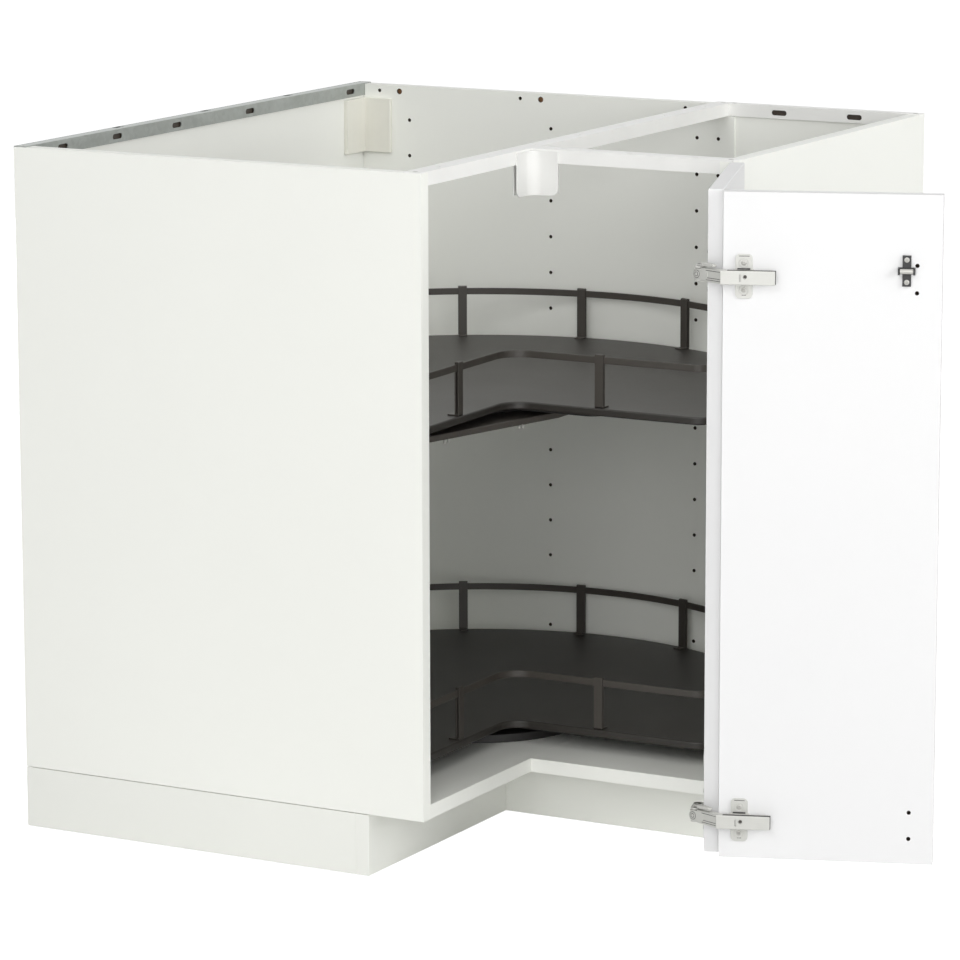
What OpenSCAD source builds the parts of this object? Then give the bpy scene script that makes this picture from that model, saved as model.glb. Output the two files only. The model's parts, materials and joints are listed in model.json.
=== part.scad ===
// Corner base cabinet with two three-quarter round revolving shelves and a folding pair of corner doors.
// Frame: the room corner on the floor is the origin, one wing runs along +X and the other along -Y.

/* [Carcass] */
// Length of each wing along its wall
wing_l = 864; // [800:1:1000]
// Depth of each wing from the wall to its front edge
wing_d = 585; // [540:1:620]
// Height of the carcass above the legs
carcass_h = 800; // [760:1:900]
// Height of the legs and the plinth
leg_h = 80; // [70:1:120]
// Thickness of the carcass boards
board_t = 18; // [16:1:22]
// Thickness of the rear panels
rear_t = 4; // [3:0.5:8]
// Reach of the drilled back board past the left wing's front
back_board_past = 9; // [2:1:30]
// Set-back of the plinth behind the front edges
plinth_setback = 78; // [50:1:100]
// Gap under and over the plinth boards
plinth_gap = 1; // [0.5:0.5:3]

/* [Shelf-pin holes] */
// Diameter of a shelf-pin hole
pin_hole_d = 5; // [4:0.5:6]
// Depth of a shelf-pin hole
pin_hole_depth = 12; // [8:1:15]
// Vertical pitch of the holes
pin_pitch = 50; // [32:1:60]
// Number of holes in a column
pin_count = 15; // [6:1:15]
// Distance of the top hole below the cabinet top
pin_top = 49; // [30:1:80]
// Distance of the first column from the room corner
pin_col = 90; // [60:1:120]
// Spacing of the columns
pin_col_pitch = 224; // [160:1:236]

/* [Rails] */
// Sheet thickness of the rails
rail_t = 1.2; // [1:0.1:2]
// Height of a rail's upright face
rail_face_h = 17; // [14:1:25]
// Width of the top flange of a front rail
rail_top_w = 25; // [20:1:40]
// Length of a slot in a rail
slot_l = 22; // [12:1:26]
// Width of a slot in a rail
slot_w = 7; // [4:0.5:8]
// Width of the corner cover on each rail
cover_w = 39; // [30:1:60]
// Height of the corner cover
cover_h = 56; // [40:1:80]
// Thickness of the corner cover
cover_t = 1.6; // [1.2:0.1:2]

/* [Rear corner angle] */
// Height of the angle in the rear corner
angle_h = 76; // [50:1:120]
// Leg of the angle on the left rear panel
angle_leg_left = 54; // [30:1:80]
// Leg of the angle on the back board
angle_leg_back = 44; // [30:1:80]
// Thickness of the angle
angle_t = 6.4; // [2:0.1:8]

/* [Legs] */
// Radius of a leg tube
leg_r = 19; // [15:1:25]
// Radius of a leg socket
socket_r = 32; // [28:1:40]
// Radius of a foot
foot_r = 27; // [22:1:32]
// Height of a foot
foot_h = 8; // [6:1:12]
// Radius of a foot's screw
foot_screw_r = 5; // [4:0.5:8]
// Distance of a leg's axis from the edges of the boards over it
leg_inset = 60; // [50:1:90]

/* [Carousel] */
// Clearance of a shelf from the boards behind it
shelf_back_gap = 10; // [5:1:20]
// Clearance of a shelf from the end panels
shelf_side_gap = 34; // [12:1:50]
// Thickness of a shelf
shelf_t = 10; // [8:1:16]
// Distance of the notch edges from the carousel axis
notch_d = 100; // [80:1:120]
// Radius of the notch's inner corner
notch_r = 30; // [15:1:50]
// Radius of the shelf's outer corners
tip_r = 28; // [15:1:40]
// Height of the lower shelf's top above the bottom panel
lower_shelf_rise = 30; // [28:1:100]
// Height of the upper shelf's top above the lower one's
shelf_pitch = 418; // [330:1:480]

/* [Guard] */
// Height of the guard strip's top above the shelf
guard_h = 66; // [40:1:90]
// Height of the guard strip itself
strip_h = 9; // [6:1:20]
// Thickness of the guard strip
strip_t = 2; // [1.5:0.5:3]
// Distance of the guard strip from the shelf's edge
strip_inset = 3; // [2.5:0.5:6]
// Width of a post
post_w = 12; // [8:1:16]
// Thickness of a post's two walls
post_t = 1.6; // [1.2:0.2:2]
// Height of a post
post_h = 69; // [50:1:100]
// Length of a post's bent foot
post_foot = 16; // [12:1:20]
// Angle between the posts on the round edge
post_step = 24.8; // [20:0.1:25]
// Angle of the first pair of posts from the middle of the round edge
post_first = 13; // [8:0.5:14]
// Distance of a front post from the carousel axis along the notch edge
front_post_d = 227; // [150:1:280]

/* [Turntables] */
// Radius of the upper turntable's base
base_r = 105; // [96:1:120]
// Radius of the lower turntable's base
lower_base_r = 146; // [96:1:150]
// Thickness of the turntable base
base_t = 3; // [2:0.5:5]
// Radius of the turntable pin
pivot_r = 12; // [8:0.5:16]
// Radial clearance of the turntable pin
pivot_gap = 0.05; // [0.02:0.01:0.1]
// Gap under the turntable's race
race_gap = 0.3; // [0.2:0.1:0.6]
// Half length of the turntable plate
plate_l = 225; // [150:1:260]
// Half width of the turntable plate
plate_w = 92; // [60:1:98]
// Thickness of the turntable plate
plate_t = 3; // [2:0.5:5]
// Height of a turntable from its seat to the shelf
turntable_h = 12; // [9:0.5:14]

/* [Support beam] */
// Depth of the support beam
beam_h = 8; // [6:1:14]
// Sheet thickness of the support beam
beam_sheet = 2; // [1.5:0.5:3]
// Half width of the support beam at its ends
beam_end_w = 34; // [26:1:60]
// Half width of the support beam in the middle
beam_mid_w = 137; // [120:1:150]

/* [Doors] */
// Thickness of the doors
door_t = 18; // [16:1:22]
// Gap between the carcass and the doors
door_gap = 3; // [2:0.5:5]
// Gap between the two doors
fold_gap = 2; // [1.5:0.5:4]
// Set-back of the doors from the cabinet's outer sides
door_side = 2; // [1:0.5:4]
// Set-back of the doors' upper edge below the carcass's top
door_top = 1; // [0:0.5:20]
// Set-back of the doors' lower edge above the carcass's underside
door_low = 2; // [0:0.5:20]
// Opening angle of the doors in the rest pose
swing_rest = 110; // [60:1:110]
// Distance of the lower hinges above the doors' lower edge
hinge_low = 47; // [40:1:120]
// Distance of the upper hinges below the doors' upper edge
hinge_high = 98.5; // [60:0.5:160]
// Diameter of a hinge cup
cup_d = 35; // [30:1:38]
// Depth of a hinge cup's pocket
cup_depth = 13; // [11:0.5:14]

/* [Hidden] */
$fn = 48;
eps = 0.01;
through = 1;

top_z = leg_h + carcass_h;
board_top = top_z - rail_t;
floor_top = leg_h + board_t;
inner = wing_l - board_t;
lower_shelf_z = floor_top + lower_shelf_rise;
upper_shelf_z = lower_shelf_z + shelf_pitch;
door_z = leg_h + door_low;
door_h = carcass_h - door_low - door_top;
front_x = wing_d;
back_board_w = wing_d + back_board_past;
shelf_r = (inner - board_t - shelf_back_gap - shelf_side_gap) / 2;
axis_d = board_t + shelf_back_gap + shelf_r;
white = [0.93, 0.93, 0.91];
cream = [0.93, 0.93, 0.88];
steel = [0.66, 0.67, 0.67];
nickel = [0.76, 0.75, 0.73];
dark = [0.24, 0.23, 0.21];
black = [0.08, 0.08, 0.08];
door_white = [0.98, 0.98, 0.98];

// A box given by its low and high corners
module span(low, high) translate(low) cube(high - low);

// A slot in the XY plane, centred, along X
module slot2d(l, w) {
  square([l - w, w], center = true);
  for (s = [-1, 1]) translate([s * (l - w) / 2, 0]) circle(d = w);
}

// A rounded rectangle from its low corner
module round_rect(w, h, r) {
  translate([r, 0]) square([w - 2 * r, h]);
  translate([0, r]) square([w, h - 2 * r]);
  for (x = [r, w - r], y = [r, h - r]) translate([x, y]) circle(r);
}

// A bar with round ends between two points in the plane
module bar2d(p, q, r) {
  a = atan2(q[1] - p[1], q[0] - p[0]);
  polygon(concat(
    [for (t = [90 : 18 : 270]) p + r * [cos(a + t), sin(a + t)]],
    [for (t = [-90 : 18 : 90]) q + r * [cos(a + t), sin(a + t)]]
  ));
}

// ---- carcass boards ----

rail_screw_r = 2;
rail_screw_l = 34;
rail_screw_gap = 0.05;
rail_head_r = 3.6;
rear_rail_w = board_t;
front_rail_screw = front_x - rail_top_w / 2;
short_rail_screw = -wing_d + rail_top_w / 2;
wing_tab = back_board_w - front_x;
// Screws through the rails' end tabs, on the tops of the boards
screws_left = [[rear_rail_w / 2, -wing_l + board_t / 2], [front_rail_screw, -wing_l + board_t / 2]];
screws_back = [[rear_rail_w / 2, -board_t / 2], [front_rail_screw, -board_t / 2],
               [back_board_w - wing_tab / 2, -board_t / 2]];
screws_right = [[wing_l - board_t / 2, short_rail_screw], [wing_l - board_t / 2, -board_t / 2]];

module pilot_holes(spots)
  for (s = spots) translate([s[0], s[1], board_top - rail_screw_l])
    cylinder(r = rail_screw_r + rail_screw_gap, h = rail_screw_l + through);

module left_side_panel() color(white) difference() {
  span([0, -wing_l, leg_h], [wing_d, -inner, board_top]);
  pilot_holes(screws_left);
}

hinge_z = [door_z + hinge_low, door_z + door_h - hinge_high];
plate_screw_pitch = 32;
plate_screw_back = 37;
plate_screw_r = 2.5;
plate_screw_l = 11;

module right_side_panel() color(white) difference() {
  span([inner, -wing_d, leg_h], [wing_l, 0, board_top]);
  pilot_holes(screws_right);
  for (z = hinge_z, s = [-1, 1])
    translate([inner - through, -wing_d + plate_screw_back, z + s * plate_screw_pitch / 2])
      rotate([0, 90, 0]) cylinder(r = plate_screw_r + rail_screw_gap, h = plate_screw_l + through);
}

pin_cols = [pin_col, pin_col + pin_col_pitch, pin_col + 2 * pin_col_pitch, pin_col + 2 * pin_col_pitch + 32];
fit_hole_z = top_z - 9.5;
fit_hole_d = 8;
fit_small = [42, 266, 520];
fit_large = [74, 298];

notch_gap = 0.3;
notch_z = top_z - rail_face_h - notch_gap;
module back_side_panel() color(white) difference() {
  span([0, -board_t, leg_h], [back_board_w, 0, board_top]);
  // notches for the faces of the two rear rails
  span([-eps, -board_t - eps, notch_z], [board_t + notch_gap, eps, top_z]);
  span([front_x - notch_gap, -board_t - eps, notch_z], [back_board_w + eps, eps, top_z]);
  pilot_holes(screws_back);
  for (x = pin_cols, k = [0 : pin_count - 1])
    translate([x, -board_t - through, top_z - pin_top - k * pin_pitch])
      rotate([-90, 0, 0]) cylinder(d = pin_hole_d, h = pin_hole_depth + through);
  for (x = fit_small) translate([x, -board_t - through, fit_hole_z])
    rotate([-90, 0, 0]) cylinder(d = pin_hole_d, h = pin_hole_depth + through);
  for (x = fit_large) translate([x, -board_t - through, fit_hole_z])
    rotate([-90, 0, 0]) cylinder(d = fit_hole_d, h = pin_hole_depth + through);
}

// Depth of a dowel's end below the board's face
dowel_in = 2.6;
module dowels() color([0.6, 0.45, 0.3]) for (x = fit_large)
  translate([x, -board_t + dowel_in, fit_hole_z]) rotate([-90, 0, 0]) {
    cylinder(d = fit_hole_d - 0.1, h = pin_hole_depth - dowel_in - 0.6);
  }

// The rear panels stand behind the upright faces of the rear rails
rear_back = 2.6;
rear_top = top_z - rail_t - 3;

module rear_panel_left() color(white)
  span([board_t - rear_back - rear_t, -inner, floor_top], [board_t - rear_back, -board_t, rear_top]);

module rear_panel_right() color(white)
  span([back_board_w, -board_t + rear_back, floor_top], [inner, -board_t + rear_back + rear_t, rear_top]);

module bottom_panel_main() color(white)
  span([0, -inner, leg_h], [wing_d, -board_t, floor_top]);

module bottom_panel_wing() color(white) union() {
  span([wing_d, -wing_d, leg_h], [inner, -board_t, floor_top]);
  span([back_board_w, -board_t - eps, leg_h], [inner, 0, floor_top]);
}

// ---- rails ----

// A rail along +X: top flange to +Y, upright face on the -Y side, end tabs over the boards;
// the face may run over the board at either end
module rail(l, top_w, tab_start, tab_end, over_start = 0, over_end = 0) {
  translate([0, 0, -rail_t]) cube([l, top_w, rail_t]);
  translate([-over_start, 0, -rail_face_h]) cube([l + over_start + over_end, rail_t, rail_face_h]);
  translate([-tab_start, 0, -rail_t]) cube([tab_start + eps, top_w, rail_t]);
  translate([l - eps, 0, -rail_t]) cube([tab_end + eps, top_w, rail_t]);
}

module tab_hole(x, y) translate([x, y, -rail_t - through])
  cylinder(r = rail_head_r + rail_screw_gap, h = rail_t + 2 * through);

// Rear lip of a rear rail, as far down as its face
module rail_lip(l) translate([0, rear_rail_w - rail_t, -rail_face_h]) cube([l, rail_t, rail_face_h]);

// Slot through the face and the rear lip
module face_slot(x) translate([x, -through, -rail_face_h / 2 - rail_t / 2])
  rotate([-90, 0, 0]) linear_extrude(rear_rail_w + 2 * through) slot2d(slot_l, slot_w);

module top_slot(x, y, l, w) translate([x, y, -rail_t - through])
  linear_extrude(rail_t + 2 * through) slot2d(l, w);

rear_left_l = inner - board_t;
// Distances of the slots from the room corner
wall_slots = [58, 327, 511, 654, 780];
flange_slots = [207, 420, 633];
flange_slot_in = 12.4;
small_slot_l = 10;
small_slot_w = 3.8;

module rear_rail_left() color(steel)
  translate([board_t, -inner, top_z]) rotate([0, 0, 90]) difference() {
    union() {
      rail(rear_left_l, rear_rail_w, board_t, board_t, 0, board_t);
      rail_lip(rear_left_l);
    }
    for (d = wall_slots) face_slot(inner - d);
    for (d = flange_slots) top_slot(inner - d, flange_slot_in, slot_l, slot_w);
    for (x = [-board_t / 2, rear_left_l + board_t / 2]) tab_hole(x, rear_rail_w / 2);
  }

rear_right_l = inner - back_board_w;
wing_slots = [660, 770];

module rear_rail_right() color(white)
  translate([back_board_w, -board_t, top_z]) difference() {
    union() {
      rail(rear_right_l, rear_rail_w, wing_tab, board_t, wing_tab, 0);
      rail_lip(rear_right_l);
    }
    for (d = wing_slots) face_slot(d - back_board_w);
    for (x = [-wing_tab / 2, rear_right_l + board_t / 2]) tab_hole(x, rear_rail_w / 2);
  }

front_long_l = inner - board_t;
front_long_slots = 7;
front_long_slot_end = 50;
front_long_pitch = (front_long_l - 2 * front_long_slot_end) / (front_long_slots - 1);

module front_rail_long() color(white)
  translate([front_x, -inner, top_z]) rotate([0, 0, 90]) difference() {
    rail(front_long_l, rail_top_w, board_t, board_t);
    for (k = [0 : front_long_slots - 1])
      top_slot(front_long_slot_end + k * front_long_pitch, rail_top_w / 2, small_slot_l, small_slot_w);
    for (x = [-board_t / 2, front_long_l + board_t / 2]) tab_hole(x, rail_top_w / 2);
  }

front_short_l = inner - wing_d;
front_short_slots = 3;
front_short_slot_end = 40;
front_short_pitch = (front_short_l - 2 * front_short_slot_end) / (front_short_slots - 1);

module front_rail_short() color(white)
  translate([wing_d, -wing_d, top_z]) difference() {
    rail(front_short_l, rail_top_w, 0, board_t);
    for (k = [0 : front_short_slots - 1])
      top_slot(front_short_slot_end + k * front_short_pitch, rail_top_w / 2, small_slot_l, small_slot_w);
    tab_hole(front_short_l + board_t / 2, rail_top_w / 2);
  }

module rail_screws() color(steel)
  for (s = concat(screws_left, screws_back, screws_right)) translate([s[0], s[1], 0]) {
    translate([0, 0, board_top - rail_screw_l + 1]) cylinder(r = rail_screw_r, h = rail_screw_l - 1);
    difference() {
      translate([0, 0, board_top]) cylinder(r = rail_head_r, h = rail_t);
      translate([0, 0, top_z - 0.6]) linear_extrude(1) for (a = [0, 90]) rotate(a)
        square([4, 0.9], center = true);
    }
  }

// Cover over the inner corner of the front rails: a skin with a round corner in front of the rail faces
// and a narrower skin behind them
cover_fillet = 14;
back_skin = 5.5;
cover_top = top_z - rail_t - 1;

module cover_skin_2d() {
  difference() {
    square([cover_w, cover_w]);
    translate([cover_t, cover_t]) square([cover_w, cover_w]);
  }
  difference() {
    translate([cover_t, cover_t]) square(cover_fillet);
    translate([cover_t + cover_fillet, cover_t + cover_fillet]) circle(cover_fillet);
  }
}

// Rounds the two lower corners of a skin that lies in the XZ plane
module skin_window(w, h, r, depth) translate([0, depth, 0]) rotate([90, 0, 0])
  linear_extrude(2 * depth) {
    translate([-1, r]) square([w + 1, h]);
    translate([-1, 0]) square([w + 1 - r, h]);
    translate([w - r, r]) circle(r);
  }

module rail_corner_cover() color([0.96, 0.96, 0.95])
  translate([wing_d, -wing_d, cover_top - cover_h]) mirror([0, 1, 0]) {
    intersection() {
      linear_extrude(cover_h) cover_skin_2d();
      skin_window(cover_w, cover_h, 10, 100);
      mirror([1, -1, 0]) skin_window(cover_w, cover_h, 10, 100);
    }
    // narrower skins behind the rails, joined to the front one under the rails' lower edges
    back_h = cover_h - (cover_top - top_z + rail_face_h) - 4;
    for (m = [0, 1]) mirror([m, -m, 0]) {
      translate([-back_skin, 2, 3]) cube([cover_t, cover_w - 4, back_h]);
      translate([-back_skin, 6, 3]) cube([back_skin + eps, cover_w - 14, cover_t]);
    }
  }

module rear_corner_angle() color(cream)
  translate([board_t, -board_t, top_z - rail_face_h - 3 - angle_h]) {
    translate([-rear_back, -angle_leg_left, 0]) cube([angle_t, angle_leg_left, angle_h]);
    translate([-rear_back, -angle_t, 0]) cube([rear_back + angle_leg_back, angle_t, angle_h]);
  }

// ---- legs and plinth ----

leg_near = wing_l - leg_inset;
leg_front = wing_d - plinth_setback - board_t - leg_inset + 10;
leg_spots = [[leg_inset, -leg_inset], [leg_inset, -leg_near], [leg_front, -leg_near],
             [leg_front, -leg_front], [leg_near, -leg_front], [leg_near, -leg_inset]];
socket_h = 6;
tube_z = foot_h + 6;
foot_screw_top = leg_h - 30;

module leg_tubes() color(black)
  for (s = leg_spots) translate([s[0], s[1], 0]) difference() {
    union() {
      translate([0, 0, leg_h - socket_h]) cylinder(r = socket_r, h = socket_h);
      translate([0, 0, tube_z]) cylinder(r = leg_r, h = leg_h - socket_h - tube_z + eps);
      for (a = [0 : 45 : 135]) rotate(a)
        translate([-leg_r - 7, -1.5, leg_h - socket_h - 16]) cube([2 * leg_r + 14, 3, 16 + eps]);
    }
    translate([0, 0, tube_z - through])
      cylinder(r = foot_screw_r + 0.05, h = foot_screw_top + 2 - tube_z + through);
  }

module foot(i) color(black) translate([leg_spots[i][0], leg_spots[i][1], 0]) {
  rotate_extrude() {
    square([foot_r - 2, foot_h]);
    square([foot_r, foot_h - 2]);
    translate([foot_r - 2, foot_h - 2]) circle(2);
    translate([0, foot_h - eps]) square([foot_screw_r, foot_screw_top - foot_h]);
  }
  for (a = [0 : 30 : 330]) rotate(a) translate([foot_r - 1, -1.5, 1]) cube([2.5, 3, foot_h - 4]);
}
module foot_1() foot(0);
module foot_2() foot(1);
module foot_3() foot(2);
module foot_4() foot(3);
module foot_5() foot(4);
module foot_6() foot(5);

plinth_front = wing_d - plinth_setback;
plinth_back = plinth_front - board_t;
plinth_top = leg_h - plinth_gap;

module plinth_side() color(cream)
  span([0, -wing_l, plinth_gap], [plinth_back, -inner, plinth_top]);

module plinth_front_left() color(cream)
  span([plinth_back, -wing_l, plinth_gap], [plinth_front, -plinth_back, plinth_top]);

module plinth_front_right() color(cream)
  span([plinth_front, -plinth_front, plinth_gap], [wing_l, -plinth_back, plinth_top]);

// A clip: a pad on the plinth board's back and a saddle against the leg tube
clip_z = 30;
clip_h = 16;
module plinth_clip(gap) {
  span([gap - 4, -16, clip_z], [gap, 16, clip_z + clip_h]);
  difference() {
    span([leg_r - 8, -leg_r + 4, clip_z], [gap, leg_r - 4, clip_z + clip_h]);
    translate([0, 0, clip_z - 1]) cylinder(r = leg_r + 0.02, h = clip_h + 2);
  }
}

module plinth_clips() color(black) {
  front_gap = plinth_back - leg_front;
  side_gap = inner - leg_near;
  for (i = [2, 3]) translate(leg_spots[i]) plinth_clip(front_gap);
  translate(leg_spots[4]) rotate(-90) plinth_clip(front_gap);
  translate(leg_spots[1]) rotate(-90) plinth_clip(side_gap);
}

// ---- carousel ----

// Points of an arc, without its first or last ones if wanted
function arc(c, r, a0, a1, n, skip = 0) =
  [for (i = [skip : n - skip]) c + r * [cos(a0 + (a1 - a0) * i / n), sin(a0 + (a1 - a0) * i / n)]];

// Outline of a shelf about the carousel axis, drawn in by an even margin
module shelf2d(margin) {
  r = shelf_r - margin;
  n = notch_d - margin;
  v = notch_r + margin;
  t = tip_r - margin;
  a = asin((n - t) / (r - t));
  far = (r - t) * cos(a);
  polygon(concat(
    arc([far, -n + t], t, -90, -a, 7),
    arc([0, 0], r, -a, 270 + a, 116, 1),
    arc([n - t, -far], t, 270 + a, 360, 7),
    arc([n + v, -n - v], v, 180, 90, 8)
  ));
}

module on_axis(z) translate([axis_d, -axis_d, z]) children();

module shelf(z) color(dark) on_axis(z - shelf_t) linear_extrude(shelf_t) shelf2d(0);
module upper_shelf() shelf(upper_shelf_z);
module lower_shelf() shelf(lower_shelf_z);

module guard_strip(z) color(dark) on_axis(z + guard_h - strip_h) linear_extrude(strip_h) difference() {
  shelf2d(strip_inset);
  shelf2d(strip_inset + strip_t);
}
module upper_guard_strip() guard_strip(upper_shelf_z);
module lower_guard_strip() guard_strip(lower_shelf_z);

// A post is a folded band over the strip, its outer face at x = 0 and its foot bent inwards
strip_play = 0.5;
post_foot_t = 2;
post_slot = strip_t + strip_play;
post_deep = 2 * post_t + post_slot;
module post() difference() {
  union() {
    translate([-post_deep, -post_w / 2, 0]) cube([post_deep, post_w, post_h]);
    translate([-post_foot, -post_w / 2, 0]) cube([post_foot, post_w, post_foot_t]);
  }
  translate([-post_t - post_slot, -post_w, post_foot_t]) cube([post_slot, 2 * post_w, post_h - 2 * post_foot_t]);
}

post_out = strip_inset - strip_play / 2 - post_t;
round_posts = [for (k = [0 : 5]) post_first + k * post_step];
module guard_posts(z) color(dark) on_axis(z) {
  r = shelf_r - post_out;
  for (a = round_posts, s = [-1, 1]) rotate(135 + s * a) translate([r, 0]) post();
  translate([notch_d - post_out, -front_post_d]) post();
  translate([front_post_d, -notch_d + post_out]) rotate(-90) post();
}
module upper_guard_posts() guard_posts(upper_shelf_z);
module lower_guard_posts() guard_posts(lower_shelf_z);

upper_seat = upper_shelf_z - shelf_t - turntable_h;
lower_seat = lower_shelf_z - shelf_t - turntable_h;
race_in = 82;
race_out = 94;

// Base plate with its pin, its face at z = 0 and its body down to -low
module turntable_base(z, low, r) color(black) on_axis(z) {
  translate([0, 0, -low]) cylinder(r = r, h = low + base_t, $fn = 96);
  translate([0, 0, base_t - eps]) cylinder(r = pivot_r, h = turntable_h - plate_t - base_t);
}
module upper_turntable_base() turntable_base(upper_seat, 0, base_r);
module lower_turntable_base() turntable_base(lower_seat, lower_seat - floor_top, lower_base_r);

// Plate under the shelf, with a hub round the pin and a race that runs over the base
module turntable_plate(z) color(black) on_axis(z) {
  translate([-plate_l, -plate_w, turntable_h - plate_t])
    linear_extrude(plate_t) round_rect(2 * plate_l, 2 * plate_w, 20);
  difference() {
    translate([0, 0, base_t + race_gap]) union() {
      cylinder(r = pivot_r + 10, h = turntable_h - plate_t - base_t - race_gap + eps);
      difference() {
        cylinder(r = race_out, h = turntable_h - plate_t - base_t - race_gap + eps, $fn = 96);
        translate([0, 0, -1]) cylinder(r = race_in, h = turntable_h, $fn = 96);
      }
    }
    cylinder(r = pivot_r + pivot_gap, h = turntable_h - plate_t);
  }
}
module upper_turntable_plate() turntable_plate(upper_seat);
module lower_turntable_plate() turntable_plate(lower_seat);

// Support beam of the upper carousel: a shallow folded tray, widest under the turntable
beam_top = upper_seat;
beam_bottom = beam_top - beam_h;
beam_end = 2;
beam_near = -inner + beam_end;
beam_far = -board_t - beam_end;

module beam2d(margin) polygon([
  [-beam_end_w + margin, beam_near + axis_d + margin], [beam_end_w - margin, beam_near + axis_d + margin],
  [beam_mid_w - margin, -base_r / 3], [beam_mid_w - margin, base_r / 3],
  [beam_end_w - margin, beam_far + axis_d - margin], [-beam_end_w + margin, beam_far + axis_d - margin],
  [-beam_mid_w + margin, base_r / 3], [-beam_mid_w + margin, -base_r / 3]
]);

module support_beam() color(dark) on_axis(beam_bottom) difference() {
  linear_extrude(beam_h) beam2d(0);
  translate([0, 0, -1]) linear_extrude(beam_h - beam_sheet + 1) beam2d(beam_sheet);
}

bracket_w = 2 * beam_end_w + 24;
bracket_drop = 30;
bracket_reach = 34;
module beam_brackets() color(dark) for (s = [[beam_near, 1], [beam_far, -1]])
  translate([axis_d, s[0], 0]) mirror([0, s[1] < 0 ? 1 : 0, 0]) difference() {
    union() {
      span([-bracket_w / 2, -beam_end, beam_bottom - bracket_drop], [bracket_w / 2, 0, beam_top]);
      span([-beam_end_w, -eps, beam_bottom - beam_sheet], [beam_end_w, bracket_reach, beam_bottom]);
    }
    for (x = [-1, 1]) translate([x * (bracket_w / 2 - 6), 1, beam_bottom - bracket_drop + 8])
      rotate([90, 0, 0]) cylinder(r = 2.5, h = 4);
  }

// Screws hang in pairs under the sloping edges of the beam
screw_pair = 7;
screw_spots = [0.16, 0.5];
module bracket_screws() for (x = [-1, 1], s = [[beam_near, -90], [beam_far, 90]])
  translate([axis_d + x * (bracket_w / 2 - 6), s[0], beam_bottom - bracket_drop + 8])
    rotate([s[1], 0, 0]) {
      translate([0, 0, -1.9]) cylinder(r = 2.4, h = 1.9 + eps);
      cylinder(r = 4.5, h = 2);
    }

module beam_screws() color(steel) {
  bracket_screws();
  slope_screws();
}

module slope_screws() on_axis(beam_bottom)
  for (mx = [0, 1], my = [0, 1]) mirror([mx, 0, 0]) mirror([0, my, 0])
    for (f = screw_spots) {
      reach = my == 0 ? -beam_near - axis_d : beam_far + axis_d;
      y = -base_r / 3 * (1 - f) - reach * f;
      x = beam_mid_w * (1 - f) + beam_end_w * f;
      translate([x, y, 0]) rotate(-atan2(beam_mid_w - beam_end_w, reach - base_r / 3)) for (s = [-1, 1])
        translate([-7, s * screw_pair / 2, -6]) {
          cylinder(r = 1.8, h = beam_h - beam_sheet + 6);
          translate([0, 0, beam_h - beam_sheet + 3]) cylinder(r = 2.6, h = 3);
        }
    }

// ---- doors, drawn closed and turned to the rest pose ----

door_in = wing_d + door_gap;
door_out = door_in + door_t;
door_end = door_out + fold_gap;
door_w = wing_l - door_side - door_end;
// Axis of the door swing, close to the edge of the right side panel
swing_axis = [wing_l - 1.3, -wing_d - 4.1];
// Axis of the fold, behind the gap between the doors
fold_pin = [door_end - 3, -wing_d + 7];

module at_rest() translate([swing_axis[0], swing_axis[1], 0]) rotate(swing_rest)
  translate([-swing_axis[0], -swing_axis[1], 0]) children();

cup_edge = 22.5;
cabinet_cup_x = wing_l - door_side - cup_edge;
corner_cup_x = door_end + cup_edge;
cup_gap = 0.05;

module door_hinge_side() color(door_white) at_rest() difference() {
  span([door_end, -door_out, door_z], [door_end + door_w, -door_in, door_z + door_h]);
  for (z = hinge_z, x = [cabinet_cup_x, corner_cup_x])
    translate([x, -door_in + 1, z]) rotate([90, 0, 0]) cylinder(d = cup_d, h = cup_depth + 1);
}

// The catch stands in from the door's free edge
catch_in = 41;
catch_s = door_w - catch_in;
catch_z = door_z + door_h - 88.5;
spare_hole_in = 29;
module door_free_side() color(door_white) at_rest() difference() {
  span([door_in, -door_end - door_w, door_z], [door_out, -door_end, door_z + door_h]);
  for (z = hinge_z, s = [-1, 1])
    translate([door_in - 1, -door_end - door_w + spare_hole_in, z + s * plate_screw_pitch / 2])
      rotate([0, 90, 0]) cylinder(d = pin_hole_d, h = 12 + 1);
}

// A hinge cup let into a door, opening towards +Y, its centre on the door's inner face
flange_t = 1.2;
cup_wall = 1;
module hinge_cup() {
  difference() {
    union() {
      rotate([90, 0, 0]) translate([0, 0, -flange_t]) cylinder(r = cup_d / 2 + 1, h = flange_t);
      rotate([90, 0, 0]) cylinder(r = cup_d / 2 - cup_gap, h = cup_depth - cup_gap);
      span([-7, 0, -29], [7, flange_t, 29]);
    }
    rotate([90, 0, 0]) translate([0, 0, -flange_t - 1])
      cylinder(r = cup_d / 2 - cup_wall, h = cup_depth + flange_t + 1 - cup_wall);
    for (s = [-1, 1]) translate([0, -1, s * 22.5]) rotate([-90, 0, 0]) cylinder(r = 2, h = 4);
  }
}

// ---- hinges between the right side panel and its door: arcs about the swing axis ----

arc_t = 2.4;
neck_r = 20;
link_r = neck_r + arc_t + 0.5;
nose_r = link_r + arc_t + 0.3;
// Part of a ring about the swing axis, between two angles in plan, half height hz
module arc_plate(r, a0, a1, half) translate([swing_axis[0], swing_axis[1], -half])
  rotate(a0) rotate_extrude(angle = a1 - a0) translate([r, 0]) square([arc_t, 2 * half]);

arm_y = -wing_d + plate_screw_back;
module at_hinges() for (z = hinge_z) translate([0, 0, z]) children();

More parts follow.
